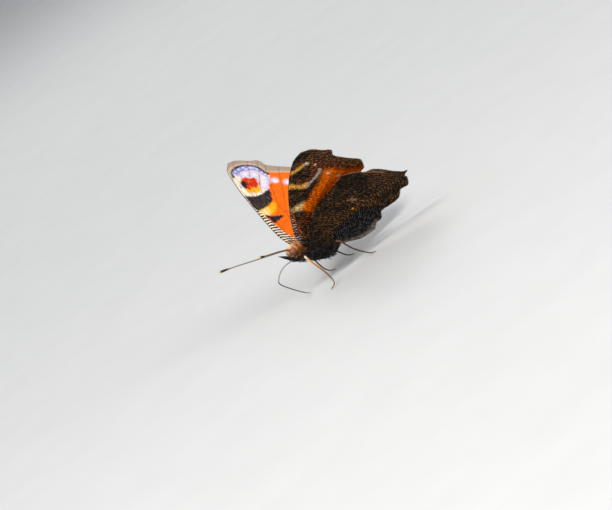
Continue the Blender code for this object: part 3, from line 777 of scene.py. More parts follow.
def wing_piece(wing, side, end, materials):
    """Thin closed wing blade with raised veins, and its markings stored as distances."""
    flat = wing_plan(wing, wing.rows)
    rows, columns = flat.shape[:2]
    count = rows * columns
    spots, leading = flat.reshape(-1, 2), smooth_line(wing.costa, 8)
    vein = np.min([line_distance(spots, smooth_line(v, 5))[0] for v in wing.veins], axis=0)
    edge = line_distance(spots, leading)[0]
    out = np.repeat(np.linspace(0, 1, rows), columns)
    across = np.tile(np.linspace(0, 1, columns), rows)
    ridge = sizes().vein_height / MM * np.exp(-(vein / VEIN_WIDTH) ** 2) * (1.1 - 0.7 * out)
    pleat = PLEAT_HEIGHT * (1 - np.exp(-(vein / PLEAT_WIDTH) ** 2)) * np.sin(math.pi * out) ** 0.5
    wall = sizes().wing_wall / MM / 2 * (1 - 0.5 * out)
    half = wall + EDGE_HEIGHT * np.exp(-(edge / EDGE_WIDTH) ** 2)
    middle, normal = (grid.reshape(-1, 3) for grid in wing_pose(wing, side, flat))
    middle = middle + normal * pleat[:, None]
    top = middle + normal * (half + ridge)[:, None]
    bottom = middle - normal * (half + 0.7 * ridge)[:, None]
    grid = np.arange(count).reshape(rows, columns)
    quads = np.stack([grid[:-1, :-1], grid[1:, :-1], grid[1:, 1:], grid[:-1, 1:]], -1).reshape(-1, 4)
    faces = np.stack([quads, quads[:, ::-1] + count], 1).reshape(-1, 4)
    rim = np.concatenate([grid[0], grid[1:, -1], grid[-1, -2::-1], grid[-2:0:-1, 0]])
    after = np.roll(rim, -1)
    blades = len(faces)
    faces = np.concatenate([faces, np.stack([after, rim, count + rim, count + after], -1)])
    if side == "right":
        faces = faces[:, ::-1]
    obj = new_object(f"{wing.name}_blade{end}", to_frame(mirrored(np.concatenate([top, bottom]), side)),
                     faces.tolist(), materials)
    slots = [face % 2 for face in range(blades)] + [1] * len(rim)
    obj.data.polygons.foreach_set("material_index", slots)

    far = np.full(count, OUTSIDE)
    for prefix, markings in (("up_", wing.upper), ("un_", wing.under)):
        for name, kind, _, _, half_width, shape in markings:
            faced = [marking_distance(spots, kind, half_width, shape), far]
            store(obj, prefix + name, np.concatenate(faced if prefix == "up_" else faced[::-1]))
    store(obj, "vein", np.tile(vein, 2))
    store(obj, "costa", np.tile(edge, 2))

    corner = corner_points(obj.data)
    blade = np.stack([out * line_lengths(leading)[-1], across * 20], -1)
    store_uv(obj, "Plan", np.tile(spots, (2, 1))[corner])
    store_uv(obj, "Blade", np.tile(blade, (2, 1))[corner])
    low, size = spots.min(0), (spots.max(0) - spots.min(0)).max() * SHEET_SPAN
    sheet = (spots - low) / size + SHEET_MARGIN
    laid = np.concatenate([sheet, sheet + [0.5, 0.0]])
    bake = laid[corner]
    edges = corner.reshape(-1, 4)[blades:].ravel() >= count
    lip = bake[blades * 4:]
    spread = laid[corner[blades * 4:][edges] - count] - sheet.mean(0)
    lip[edges] = spread * RIM_SPREAD + sheet.mean(0)
    store_uv(obj, "OFBake", bake)

    lie = unit(np.gradient(middle.reshape(rows, columns, 3), axis=0)).reshape(-1, 3)
    store(obj, "lie", np.tile(mirrored(lie, side) * WAY, (2, 1)), "FLOAT_VECTOR")
    reach = np.linalg.norm(spots - [0, 0.3], axis=1)
    thick = np.clip(1.3 - reach / 2.8, 0, 1)
    if wing.folded:
        inner = np.clip(1.25 - reach / 9, 0, 1) * 0.8
        thick = np.where(across > 0.8, np.maximum(thick, inner), thick)
    store(obj, "density", np.tile(thick, 2))
    store(obj, "length", np.tile(0.9 + 0.5 * thick, 2))
    store(obj, "tint", np.repeat([paint_of("ginger"), paint_of("night")], count, axis=0), "FLOAT_COLOR")
    settle(obj, "wing", wing.name + end)


def upper_finish(name, markings, stripes=False, frost=None):
    """Bright upper side of a wing."""
    finish = WingFinish(name, "up_", 0.12, 0.35, 1.1)
    tone, streak = finish.tone, finish.streak
    cloud = finish.smooth(finish.noise(finish.plan, 0.35, 3.0), 0.35, 0.75, 0.0, 0.35)
    colour = finish.painted(finish.mix(cloud, "orange", "rust"), markings)
    if frost:
        lines = finish.noise(finish.scaled(finish.blade, 0.5, 5.0, 1.0), 1.0, 3.0)
        within = finish.smooth(finish.field("up_" + frost), -0.9, -0.15, 0.36, 0.0)
        colour = finish.mix(within * finish.smooth(lines, 0.5, 0.72), colour, "pale")
    if stripes:
        colour = finish.striped(colour, "black", "cream", 0.9)
    colour = finish.mix(finish.smooth(streak + tone * 0.12, 0.62, 0.8) * 0.2, colour, "pale")
    colour = finish.mix(finish.smooth(streak + tone * 0.1, 0.38, 0.24) * 0.22, colour, "rust")
    vein = finish.smooth(finish.field("vein") + finish.wobble * 0.15, 0.04, 0.2, 0.5, 0.0)
    colour = finish.mix(vein, colour, finish.mix(0.75, colour, "umber"))
    height = finish.relief * 0.7 + finish.noise(finish.plan, 14.0) * 0.5
    return finish.end(finish.times(colour, 0.86 + tone * 0.22), 0.62 + tone * 0.2, height, 0.5)


def under_finish(name, markings, stripes=False, cool=None, spot=None, shade=None):
    """Dark underside of a wing, finely lined across the veins."""
    finish = WingFinish(name, "un_", 0.06, 0.45, 0.8)
    plan, tone, wobble = finish.plan, finish.tone, finish.wobble
    wave = finish.number("SINE", finish.along * (2 * math.pi / 0.56) + finish.noise(plan, 0.7) * 10
                         + finish.noise(plan, 2.2) * 3.6 + finish.noise(plan, 5.0) * 2)
    line = finish.smooth(wave, -0.4, 0.8) * finish.smooth(finish.noise(plan, 1.5, 3.0), 0.36, 0.6)
    colour = finish.mix(finish.smooth(finish.noise(plan, 0.5, 3.0), 0.3, 0.7), "night", "umber")
    colour = finish.painted(colour, [marking for marking in markings if marking[2] in DULL])
    if stripes:
        colour = finish.striped(colour, "night", "ash", 0.55)
    patch = finish.smooth(finish.noise(plan, 0.45, 5.0), 0.46, 0.62, 0.0, 0.62)
    colour = finish.mix(patch, colour, "fawn")
    pale = (0.085, 0.056, 0.03, 1.0)
    if cool:
        blue = finish.cover(cool, -0.8, 0.8)
        colour = finish.mix(blue * 0.9, colour, cool)
        pale = finish.mix(blue, (0.07, 0.046, 0.024, 1.0), (0.062, 0.06, 0.06, 1.0))
    lighter = finish.mix(0.72, colour, finish.mix(1.0, colour, pale, "ADD"))
    colour = finish.mix(line, finish.times(colour, (0.34, 0.31, 0.3, 1.0)), lighter)
    # Bright markings go on over the fine lines; on the forewing they are painted light shining through the
    # wing from the upper side.
    colour = finish.painted(colour, [marking for marking in markings if marking[2] not in DULL])
    flecks = finish.smooth(wave + finish.streak * 2 - tone, -0.6, 1.2, 0.5, 1.04)
    flecks = flecks * finish.smooth(finish.noise(plan, 1.5, 4.0), 0.34, 0.62, 0.6, 1.3)
    if shade:
        flecks = flecks * finish.smooth(finish.field("un_" + shade) + wobble, -1.2, 1.0, 0.5, 1.0)
    colour = finish.times(colour, flecks)
    vein = finish.smooth(finish.field("vein") + wobble * 0.2, 0.03, 0.15, 0.5, 0.0)
    colour = finish.mix(vein, colour, "night")
    if spot:
        colour = finish.mix(finish.cover(spot, -0.15, 0.12, wobble * 0.5), colour, "amber")
    colour = finish.times(colour, 0.82 + tone * 0.3)
    return finish.end(colour, 0.66 + tone * 0.2, finish.relief * 0.7 + line * 0.6, 0.5)


def coat_finish():
    """Hair: the colour of its root, darker at the foot and paler at the tip."""
    finish = Finish("coat_hair", Sheen_Weight=0.06, Sheen_Roughness=0.4, Specular_IOR_Level=0.2)
    tint, tip, lot = finish.tint(), finish.field("tip"), finish.field("lot")
    grain = finish.noise(finish.place(1400), 1.0)
    dark = finish.times(tint, (0.4, 0.36, 0.34, 1.0))
    body = finish.mix(lot, dark, finish.times(tint, (1.6, 1.5, 1.4, 1.0)))
    colour = finish.mix(finish.smooth(tip + (grain - 0.5) * 0.5, 0.0, 0.6), dark, body)
    faded = finish.smooth(tip, 0.4, 1.0) * finish.smooth(lot, 0.72, 0.95) * 0.85
    colour = finish.mix(faded, colour, finish.mix(0.3, tint, "cream"))
    return finish.end(colour, 0.55 + grain * 0.2, finish.noise(finish.place(8000), 1.0), 0.15)


def circle(sides):
    """Points of a circle of radius one."""
    angles = [2 * math.pi * k / sides for k in range(sides)]
    return [(math.cos(angle), math.sin(angle)) for angle in angles]


def bands(rings, sides, first=0):
    """Faces between rings of points that follow one another."""
    faces = []
    for ring in range(rings - 1):
        for k in range(sides):
            a, b = first + ring * sides + k, first + ring * sides + (k + 1) % sides
            faces.append((a, b, b + sides, a + sides))
    return faces


def tuft_mesh(name, hairs, spread, girth, seed):
    """A few curved tapering hairs of length one that grow along Z and bow towards -X."""
    rng = np.random.default_rng(seed)
    points, faces, tips = [], [], []
    for _ in range(hairs):
        foot = rng.uniform(-1, 1, 2) * spread * 0.35
        lean = rng.uniform(-1, 1, 2) * spread
        reach = rng.uniform(0.72, 1.0)
        first = len(points)
        for level in (-0.12, 0.3, 0.68):
            share = max(level, 0)
            centre = foot + lean * share
            centre[0] += 0.10 * math.sin(math.pi * share) - 0.16 * share ** 2
            thick = girth * (1 - 0.55 * share)
            points += [(centre[0] + thick * c, centre[1] + thick * s, level * reach)
                       for c, s in circle(3)]
            tips += [share] * 3
        points.append((foot[0] + lean[0] - 0.16, foot[1] + lean[1], reach))
        tips.append(1.0)
        faces += bands(3, 3, first)
        faces += [(first + 6 + k, first + 6 + (k + 1) % 3, first + 9) for k in range(3)]
        faces.append((first + 2, first + 1, first))
    obj = new_object(name, points, faces)
    store(obj, "tip", tips)
    return obj


class Growth(Tree):
    """Geometry Nodes that take a piece and give a new one."""

    def __init__(self, name, **kinds):
        super().__init__(bpy.data.node_groups.new(name, "GeometryNodeTree"))
        face = self.tree.interface
        face.new_socket("Geometry", in_out="OUTPUT", socket_type="NodeSocketGeometry")
        kinds = {"Geometry": "Geometry", **kinds, "Material": "Material"}
        sockets = {key: face.new_socket(key, in_out="INPUT", socket_type="NodeSocket" + kind)
                   for key, kind in kinds.items()}
        self.identifiers = {key: socket.identifier for key, socket in sockets.items()}
        self.given = self.add("NodeGroupInput").outputs

    def named(self, name, kind="FLOAT"):
        """Values stored on the piece."""
        return self.value("GeometryNodeInputNamedAttribute", {"data_type": kind}, {"Name": name},
                          "Attribute")

    def varied(self, least, most):
        """A random number for each copy."""
        limits = {2: least, 3: most, "Seed": self.given["Seed"]}
        return self.value("FunctionNodeRandomValue", {"data_type": "FLOAT"}, limits, 1)

    def toward(self, way, other, amount):
        """A direction with some of another added."""
        part = self.vector("SCALE", {0: other, "Scale": amount})
        return self.vector("ADD", {0: way, 1: part})

    def strayed(self, way):
        """A direction, turned a little at random for each copy."""
        limits = {0: (-1.0, -1.0, -1.0), 1: (1.0, 1.0, 1.0), "Seed": self.given["Seed"]}
        stray = self.get("FunctionNodeRandomValue", {"data_type": "FLOAT_VECTOR"}, limits)
        return self.toward(way, stray, self.given["Stray"])

    def copies(self, points, shape, way, face, girth, length):
        """Set the shape on the points, along one direction and facing another."""
        along = self.get("FunctionNodeAlignRotationToVector", {"axis": "Z"}, {"Vector": way})
        turned = self.get("FunctionNodeAlignRotationToVector", {"axis": "X", "pivot_axis": "Z"},
                          {"Rotation": along, "Vector": face})
        size = self.get("ShaderNodeCombineXYZ", None, {0: girth, 1: girth, 2: length})
        copy = self.get("GeometryNodeObjectInfo", {"transform_space": "ORIGINAL"},
                        {"Object": self.given[shape]}, "Geometry")
        self.close(self.get("GeometryNodeInstanceOnPoints", None,
                            {"Points": points, "Instance": copy, "Rotation": turned, "Scale": size}))

    def close(self, geometry):
        """Make the copies real and give them the material."""
        real = self.get("GeometryNodeRealizeInstances", None, {0: geometry})
        done = self.get("GeometryNodeSetMaterial", None,
                        {"Geometry": real, "Material": self.given["Material"]})
        self.add("NodeGroupOutput", None, {0: done})


def coat_tree():
    """Tufts spread over a surface, each laid along the stored direction."""
    tree = Growth("coat", Tuft="Object", Density="Float", Gap="Float", Length="Float", Girth="Float",
                  Lift="Float", Stray="Float", Region="Int", Seed="Int")
    given = tree.given
    here = tree.get("FunctionNodeCompare", {"data_type": "INT", "operation": "EQUAL"},
                    {2: tree.named("region", "INT"), 3: given["Region"]})
    spread = tree.add("GeometryNodeDistributePointsOnFaces", {"distribute_method": "POISSON"},
                      {"Mesh": given["Geometry"], "Selection": here,
                       "Distance Min": given["Gap"], "Density Max": given["Density"],
                       "Density Factor": tree.named("density"), "Seed": given["Seed"]}).outputs
    way = tree.toward(tree.named("lie", "FLOAT_VECTOR"), spread["Normal"], given["Lift"])
    length = tree.named("length") * given["Length"] * tree.varied(0.75, 1.15)
    tree.copies(spread["Points"], "Tuft", tree.strayed(way), spread["Normal"],
                length * given["Girth"], length)
    return tree


def beads_tree():
    """Copies of one small shape set along a path, turned to follow it."""
    tree = Growth("beads", Bead="Object", Count="Int", Length="Float", Stray="Float", Seed="Int")
    given = tree.given
    curve = tree.get("GeometryNodeMeshToCurve", None, {"Mesh": given["Geometry"]})
    path = tree.get("GeometryNodeResampleCurve", None, {"Curve": curve, "Count": given["Count"]})
    points = tree.get("GeometryNodeCurveToPoints", {"mode": "EVALUATED"}, {"Curve": path}, "Points")
    length = ((tree.varied(0.7, 1.1) - 1.0) * given["Stray"] + 1.0) * given["Length"]
    tree.copies(points, "Bead", tree.strayed(tree.named("way", "FLOAT_VECTOR")),
                tree.named("face", "FLOAT_VECTOR"), tree.named("girth"), length)
    return tree


def grown(source, name, tree, **inputs):
    """Plain mesh object from a Geometry Nodes tree run on a source object."""
    modifier = source.modifiers.new("grow", "NODES")
    modifier.node_group = tree.tree
    for key, value in inputs.items():
        modifier[tree.identifiers[key]] = value
    mesh = evaluated_mesh(source)
    mesh.name = name
    return link(name, mesh)


def strung(tree, name, side, line, way, face, fields, **inputs):
    """Beads along a line of left-hand body points, each along its way and facing its face."""
    steps = [(k, k + 1) for k in range(len(line) - 1)]
    path = new_object("bead_path", to_frame(mirrored(line, side)), [], (), steps)
    store(path, "way", mirrored(way, side) * WAY, "FLOAT_VECTOR")
    store(path, "face", mirrored(face, side) * WAY, "FLOAT_VECTOR")
    for key, values in fields.items():
        store(path, key, values)
    piece = grown(path, name, tree, **inputs)
    bpy.data.objects.remove(path)
    strip(piece, "way", "face", "girth")
    return piece


def patch_uv(obj, tuft_points):
    """Give each tuft a small patch at its root's place on the unwrapped surface, and a lot."""
    mesh = obj.data
    count = len(mesh.vertices)
    lots = np.random.default_rng(9).uniform(0, 1, count // tuft_points + 1)
    store(obj, "lot", np.repeat(lots, tuft_points)[:count])
    root = read(mesh.attributes["OFBake"].data, "vector", 2)
    tip = read(mesh.attributes["tip"].data, "value", 1)
    around = np.arange(count)[:, None] % 10 / 10
    offset = np.concatenate([tip - 0.5, around - 0.5], 1) * PATCH_SIZE
    strip(obj, "OFBake", "Plan", "Blade", "lie", "density", "length", "region")
    store_uv(obj, "OFBake", np.clip(root + offset, 0.0, 1.0)[corner_points(mesh)])
    mesh.shade_smooth()


def ellipsoid(spec, less=0.0, tilt=0.0):
    """Points and faces of an ellipsoid in body points, its front end raised by a tilt."""
    segments, rings = 32, 20
    centre, half = np.array(spec[0]), np.array(spec[1]) - less
    points = [(0, 0, 1)]
    for ring in range(1, rings):
        a = math.pi * ring / rings
        points += [(math.sin(a) * c, math.sin(a) * s, math.cos(a)) for c, s in circle(segments)]
    points.append((0, 0, -1))
    last, foot = len(points) - 1, 1 + (rings - 2) * segments
    faces = [(0, 1 + k, 1 + (k + 1) % segments) for k in range(segments)]
    faces += [(a, d, c, b) for a, b, c, d in bands(rings - 1, segments, 1)]
    faces += [(last, foot + (k + 1) % segments, foot + k) for k in range(segments)]
    offset = np.array(points) * half
    offset[:, 0], offset[:, 2] = turn(offset[:, 0], offset[:, 2], tilt)
    return centre + offset, faces


def tube(line, radii, sides=16):
    """Points and faces of a closed tube with rounded ends along a line of body points."""
    way = unit(np.gradient(line, axis=0))
    points, side = [], np.cross(way[0], (0.3, 0.2, 1.0))
    for centre, radius, ahead in zip(line, radii, way):
        side = unit(side - ahead * (side @ ahead))
        other = np.cross(ahead, side)
        points += [centre + radius * (side * c + other * s) for c, s in circle(sides)]
    head, base = len(points), (len(line) - 1) * sides
    points += [line[0] - way[0] * radii[0] * 0.6, line[-1] + way[-1] * radii[-1] * 0.6]
    faces = bands(len(line), sides)
    for k in range(sides):
        faces.append((head, (k + 1) % sides, k))
        faces.append((head + 1, base + k, base + (k + 1) % sides))
    return np.array(points), faces


def merged(shapes):
    """Several (points, faces) shapes as one."""
    faces, first = [], 0
    for points, own in shapes:
        faces += [tuple(first + k for k in face) for face in own]
        first += len(points)
    return np.concatenate([points for points, _ in shapes]), faces


def leg_line(name, side, steps=10):
    """Smooth route of a leg and its radii, as if on the left side."""
    routes, radii = LEGS[name]
    return smooth_line(routes[side], steps), smooth_row(radii, steps)


def leg_shape(name, side):
    """A leg with a swollen thigh, a slim shin and a jointed foot."""
    line, size = leg_line(name, side, 14)
    share = line_lengths(line) / line_lengths(line)[-1]
    size = size * 0.68
    if name != "foreleg":
        foot = np.clip((share - 0.66) / 0.34, 0, 1)
        joints = 1 + 0.16 * np.abs(np.cos(foot * math.pi * 5)) * (foot > 0)
        size = size * joints * (1 - 0.22 * foot) * (1 + 0.12 * np.exp(-((share - 0.33) / 0.04) ** 2))
    return tube(mirrored(line, side), size)


def abdomen_shape():
    """Tapering abdomen with seven shallow rings."""
    share = np.linspace(0, 1, 80)
    axis = at_fractions(smooth_line(ABDOMEN_AXIS, 12), share)
    size = at_fractions(smooth_row(ABDOMEN_RADII, 12)[:, None], share)[:, 0] - 0.3
    blunt = np.clip(1 - (2 * share - 1) ** 8, 0.02, 1) ** 0.5
    ring = 1 + 0.035 * np.abs(np.sin(share * math.pi * 8))
    return tube(axis, size * blunt * ring, 36)


def skin_shape():
    """Every fleshy part as overlapping closed shapes, to be drawn together."""
    shapes = [ellipsoid(THORAX, 0.45, THORAX_TILT), ellipsoid(COLLAR, 0.25), ellipsoid(HEAD, 0.22),
              abdomen_shape(), ellipsoid(NECK), ellipsoid(CHEST)]
    palp = smooth_line(PALP, 8)
    size = smooth_row(PALP_RADII, 8) * 0.9
    size = size * np.interp(np.linspace(0, 1, len(palp)), [0, 0.55, 1], [1, 1, 0.3])
    for side, _ in SIDES:
        shapes.append(tube(mirrored(palp, side), size))
        shapes += [leg_shape(name, side) for name in LEGS]
        shapes += [ellipsoid((mirrored(centre, side), half)) for centre, half in COXAE]
    return merged(shapes)


def round_distance(points, spec, tilt=0.0):
    """Rough distance outside an ellipsoid."""
    offset = points - np.array(spec[0])
    offset[:, 0], offset[:, 2] = turn(offset[:, 0], offset[:, 2], -tilt)
    share = np.linalg.norm(offset / np.array(spec[1]), axis=1)
    return (share - 1) * np.linalg.norm(offset, axis=1) / np.maximum(share, 1e-6)


def blend(first, second, share):
    """Colours between two, by a share for each point."""
    share = share[:, None]
    return first * (1 - share) + second * share


def body_fields(points):
    """Region, direction of the coat, its length and density, and its colour, at body points."""
    forward, sideways, up = points.T
    left = points.copy()
    left[:, 1] = np.abs(sideways)
    radii = smooth_row(ABDOMEN_RADII, 10)
    far, place = line_distance(points, smooth_line(ABDOMEN_AXIS, 10))
    thorax = np.minimum(round_distance(points, THORAX, THORAX_TILT), round_distance(points, COLLAR))
    chest = np.minimum(round_distance(points, NECK), round_distance(points, CHEST)) - 0.2
    distances = {"thorax": np.minimum(thorax, chest), "head": round_distance(points, HEAD),
                 "abdomen": far - np.interp(place, np.arange(len(radii)), radii) + 0.1}
    palp = smooth_line(PALP, 8)
    far, palp_place = line_distance(left, palp)
    distances["palp"] = far - 0.45
    limb = np.full(len(points), np.inf)
    lie_limb = np.zeros((len(points), 3))
    share = np.zeros(len(points))
    mid = np.zeros(len(points))
    for name in LEGS:
        for side, _ in SIDES:
            line, size = leg_line(name, side)
            far, at = line_distance(left, line)
            far = far - np.interp(at, np.arange(len(size)), size) - 0.05
            nearer = (far < limb) & ((sideways > 0) == (side == "left"))
            limb[nearer] = far[nearer]
            lie_limb[nearer] = unit(np.gradient(line, axis=0))[nearest_index(at[nearer], line)]
            share[nearer] = at[nearer] / (len(line) - 1)
            mid[nearer] = name == "midleg"
    distances["limb"] = np.where(share < 0.12, OUTSIDE, limb)
    region = np.argmin([distances[name] for name in REGIONS], axis=0)
    head, abdomen, limbs, palps = (region == REGIONS[name] for name in ("head", "abdomen", "limb", "palp"))

    slope = math.tan(math.radians(THORAX_TILT))
    level = up - THORAX[0][2] - slope * (np.maximum(forward, -6.5) - THORAX[0][0])
    under = np.clip((0.3 - level) / 2.0, 0, 1)
    nape = np.clip((forward + 0.6) / 1.2, 0, 1) * np.clip((up - 0.2) / 0.8, 0, 1)
    lie = np.stack([nape * 0.9 - 1.0, sideways * 0.18 + nape * sideways * 0.5,
                    nape - 0.3 - under * 0.5], -1)
    ahead, above = forward - HEAD[0][0], up - HEAD[0][2]
    lie[head] = np.stack([ahead + 0.4, sideways * 0.2, np.full(len(points), 0.9)], -1)[head]
    lie[head & (above < -0.6)] = [0.5, 0.0, -0.9]
    lie[head & (ahead < -0.2) & (above > 0.3)] = [-0.6, 0.0, 0.9]
    lie[palps] = unit(np.gradient(palp, axis=0))[nearest_index(palp_place[palps], palp)]
    lie[limbs] = lie_limb[limbs]
    lie[(limbs | palps) & (sideways < 0), 1] *= -1

    length = np.select([region == k for k in range(5)],
                       [1.35 + 0.45 * under + 0.25 * nape, 1.0, 0.75, 0.22, 0.6])
    length[limbs & (share < 0.35)] = 0.5
    length[limbs & (share > 0.7)] = 0.12
    length[palps & (palp_place > len(palp) * 0.72)] = 0.4
    length[abdomen & (forward < -15.5)] = 1.0
    density = np.ones(len(points))
    density[(round_distance(left, EYE) < 0.06) | limbs & (share > 0.93)] = 0.0

    ginger, night, umber, honey, gold, ash, cream = (
        np.array(paint_of(name)) for name in ("ginger", "night", "umber", "honey", "gold", "ash", "cream"))
    crest = np.clip((up - 0.1) / 1.4, 0, 1) * np.clip((forward + 5.5) / 3.0, 0.25, 1)
    tint = blend(night * 0.8, ginger * 0.84 + honey * 0.14, crest)
    shade = np.clip((up - (-1.6 + 0.1 * forward)) / 1.5, 0, 1) * 0.5
    tint[abdomen] = blend(night * 0.8, umber, shade)[abdomen]
    front = np.clip((ahead - 0.5) / 0.4, 0, 1) * np.clip(1 - np.abs(above + 0.1) / 0.8, 0, 1)
    crown = blend(ginger * 0.12 + honey * 0.76 + ash * 0.56, ash * 0.85, front)
    tint[head] = blend(night, crown, np.clip((above + 1.2) / 1.1, 0, 1))[head]
    tint[palps] = night * 0.85
    knee = np.exp(-((share - 0.43) / 0.1) ** 2) * np.clip((share - 0.34) / 0.05, 0, 1)
    shin = blend(umber * 2.2, umber * 1.6 + gold * 0.16, mid)
    leg = blend(shin, gold * 0.46 + honey * 0.34, knee * (0.12 + 0.88 * mid))
    # Painted highlight: a narrow cream ring where the midlegs' knees begin.
    leg = blend(leg, cream, np.exp(-((share - 0.4) / 0.035) ** 2) * mid)
    leg[share < 0.36] = night
    tint[limbs] = leg[limbs]
    tint[:, 3] = 1.0
    return region, lie * WAY, length, density, np.clip(tint, 0, 1)


def skin_finish():
    """Dark hide under the hair, and bare shiny legs."""
    finish = Finish("skin_hide", Sheen_Weight=0.1, Specular_IOR_Level=0.4)
    tint, limb, grain = finish.tint(), finish.field("limb"), finish.grain(7.0, 4.0)
    dark = finish.times(tint, (0.45, 0.42, 0.4, 1.0))
    under_hair = finish.mix(finish.smooth(grain, 0.35, 0.7), dark, tint)
    colour = finish.mix(limb, under_hair, finish.mix(grain * 0.45, tint, dark))
    pits = finish.cells(finish.place(), 9.0)
    return finish.end(colour, 0.72 - limb * 0.27 + grain * 0.1, pits + grain, 0.35)


def make_skin():
    """One seamless skin for head, thorax, abdomen, palps and legs."""
    points, faces = skin_shape()
    obj = new_object("skin", to_frame(points), faces)
    remesh = obj.modifiers.new("draw", "REMESH")
    remesh.mode = "VOXEL"
    remesh.voxel_size = sizes().skin_cell
    remesh.adaptivity = 0.0
    soften = obj.modifiers.new("soften", "SMOOTH")
    soften.factor = 0.5
    soften.iterations = 5
    mesh = evaluated_mesh(obj)
    obj.data = mesh
    mesh.name = "skin"
    mesh.materials.clear()
    mesh.materials.append(skin_finish())
    mesh.shade_smooth()
    region, lie, length, density, tint = body_fields(to_body(read(mesh.vertices, "co", 3)))
    facing = read(mesh.vertices, "normal", 3)
    lie = unit(lie)
    lie = unit(lie - facing * (lie * facing).sum(axis=1, keepdims=True) * 0.9)
    store(obj, "lie", lie, "FLOAT_VECTOR")
    store(obj, "length", length)
    store(obj, "density", density)
    store(obj, "tint", tint, "FLOAT_COLOR")
    store(obj, "limb", region == REGIONS["limb"])
    store(obj, "region", region, "INT")
    unwrap(obj)
    return obj


def unwrap(obj):
    """Unwrap a piece's own shape for the bake."""
    for other in bpy.context.selected_objects:
        other.select_set(False)
    obj.data.uv_layers.new(name="OFBake")
    bpy.context.view_layer.objects.active = obj
    obj.select_set(True)
    bpy.ops.object.mode_set(mode="EDIT")
    bpy.ops.mesh.select_all(action="SELECT")
    bpy.ops.uv.smart_project(angle_limit=math.radians(66), island_margin=0.002)
    bpy.ops.object.mode_set(mode="OBJECT")
    obj.select_set(False)


class ButterflyForewings(bpy.types.Operator):
    """Build both forewings with veins and markings"""

    bl_idname = "butterfly.forewings"
    bl_label = "Forewings"

    def execute(self, context):
        materials = [upper_finish("forewing_upper", FORE_UPPER, True, "patch"),
                     under_finish("forewing_under", FORE_UNDER, True)]
        for side, end in SIDES:
            wing_piece(FOREWING, side, end, materials)
        return {"FINISHED"}


class ButterflyHindwings(bpy.types.Operator):
    """Build both hind wings with veins and markings"""

    bl_idname = "butterfly.hindwings"
    bl_label = "Hind wings"

    def execute(self, context):
        materials = [upper_finish("hindwing_upper", HIND_UPPER),
                     under_finish("hindwing_under", HIND_UNDER, False, "slate", "dot", "dark")]
        for side, end in SIDES:
            wing_piece(HINDWING, side, end, materials)
        return {"FINISHED"}


class ButterflyFringe(bpy.types.Operator):
    """Grow the fine fringe of scales along the outer margins"""

    bl_idname = "butterfly.fringe"
    bl_label = "Wing fringe"

    def execute(self, context):
        finish = Finish("fringe_scales", Specular_IOR_Level=0.25)
        grain = finish.grain(1.6)
        root = finish.mix(finish.smooth(grain, 0.4, 0.6), "umber", "bark")
        colour = finish.mix(finish.smooth(finish.field("tip") + grain, 0.6, 1.2), root, "pale")
        material = finish.end(colour, 0.7 + grain * 0.1, grain, 0.1)
        scale = tuft_mesh("fringe_scale", 2, 0.35, 0.11, 3)
        tree = beads_tree()
        for wing in (FOREWING, HINDWING):
            for side, end in SIDES:
                body, normal = wing_pose(wing, side, wing_plan(wing, FRINGE_ROWS))
                way = unit(body[-1] - body[-2])
                rim = body[-1] - way * 0.05
                fringe = strung(tree, f"{wing.name}_fringe{end}", side, rim, way, normal[-1],
                                {"girth": np.full(len(rim), SCALE_GIRTH * MM)}, Bead=scale,
                                Count=int(line_lengths(rim)[-1] / SCALE_GAP),
                                Length=sizes().fringe_length, Stray=0.3, Seed=7, Material=material)
                settle(fringe, "wing")
        bpy.data.objects.remove(scale)
        return {"FINISHED"}


class ButterflySkin(bpy.types.Operator):
    """Build the seamless skin of head, thorax, abdomen, palps and legs"""

    bl_idname = "butterfly.skin"
    bl_label = "Skin"

    def execute(self, context):
        legs = [leg + end for leg in LEGS for _, end in SIDES]
        settle(make_skin(), "fur", "head", "thorax", "abdomen", "palp_l", "palp_r", *legs)
        return {"FINISHED"}


class ButterflyCoat(bpy.types.Operator):
    """Grow the hair of the body and of the wing roots"""

    bl_idname = "butterfly.coat"
    bl_label = "Coat"

    def execute(self, context):
        tree, material, objects = coat_tree(), coat_finish(), bpy.data.objects
        fine = tuft_mesh("fine_tuft", 3, 0.16, 0.028, 11)
        short = tuft_mesh("short_tuft", 3, 0.3, 0.07, 12)
        lock = tuft_mesh("lock_tuft", 4, 0.12, 0.05, 13)
        # Region and name, tuft, tufts to the square millimetre, least gap, length, lift and stray.
        body = [("head", "locks", lock, 22, 0.18, 1.1, 0.85, 0.36),
                ("thorax", "locks", lock, 6, 0.32, 1.1, 0.5, 0.3),
                ("thorax", "coat", fine, 30, 0.15, 1.0, 0.45, 0.24),
                ("head", "coat", fine, 60, 0.1, 1.0, 0.6, 0.24),
                ("abdomen", "coat", fine, 22, 0.2, 1.0, 0.3, 0.14),
                ("limb", "coat", short, 60, 0.12, 1.0, 0.35, 0.1),
                ("palp", "coat", short, 70, 0.1, 1.0, 0.35, 0.12)]
        sheets = [("skin", f"{region}_{kind}", "fur", 21, REGIONS[region], *rest)
                  for region, kind, *rest in body]
        sheets += [(f"{wing.name}_blade{end}", f"{wing.name}_hair{end}", "wing", 5, 0, fine, 14, 0.2,
                    1.0, 0.22, 0.16) for wing in (FOREWING, HINDWING) for _, end in SIDES]
        for source, name, slot, seed, region, tuft, density, gap, length, lift, stray in sheets:
            coat = grown(objects[source], name, tree, Tuft=tuft, Gap=gap * MM, Girth=1.0, Lift=lift,
                         Density=density * sizes().hair_density / MM ** 2, Stray=stray, Seed=seed,
                         Length=length * sizes().hair_length * MM, Region=region, Material=material)
            patch_uv(coat, len(tuft.data.vertices))
            settle(coat, slot)
        for tuft in (fine, short, lock):
            objects.remove(tuft)
        return {"FINISHED"}


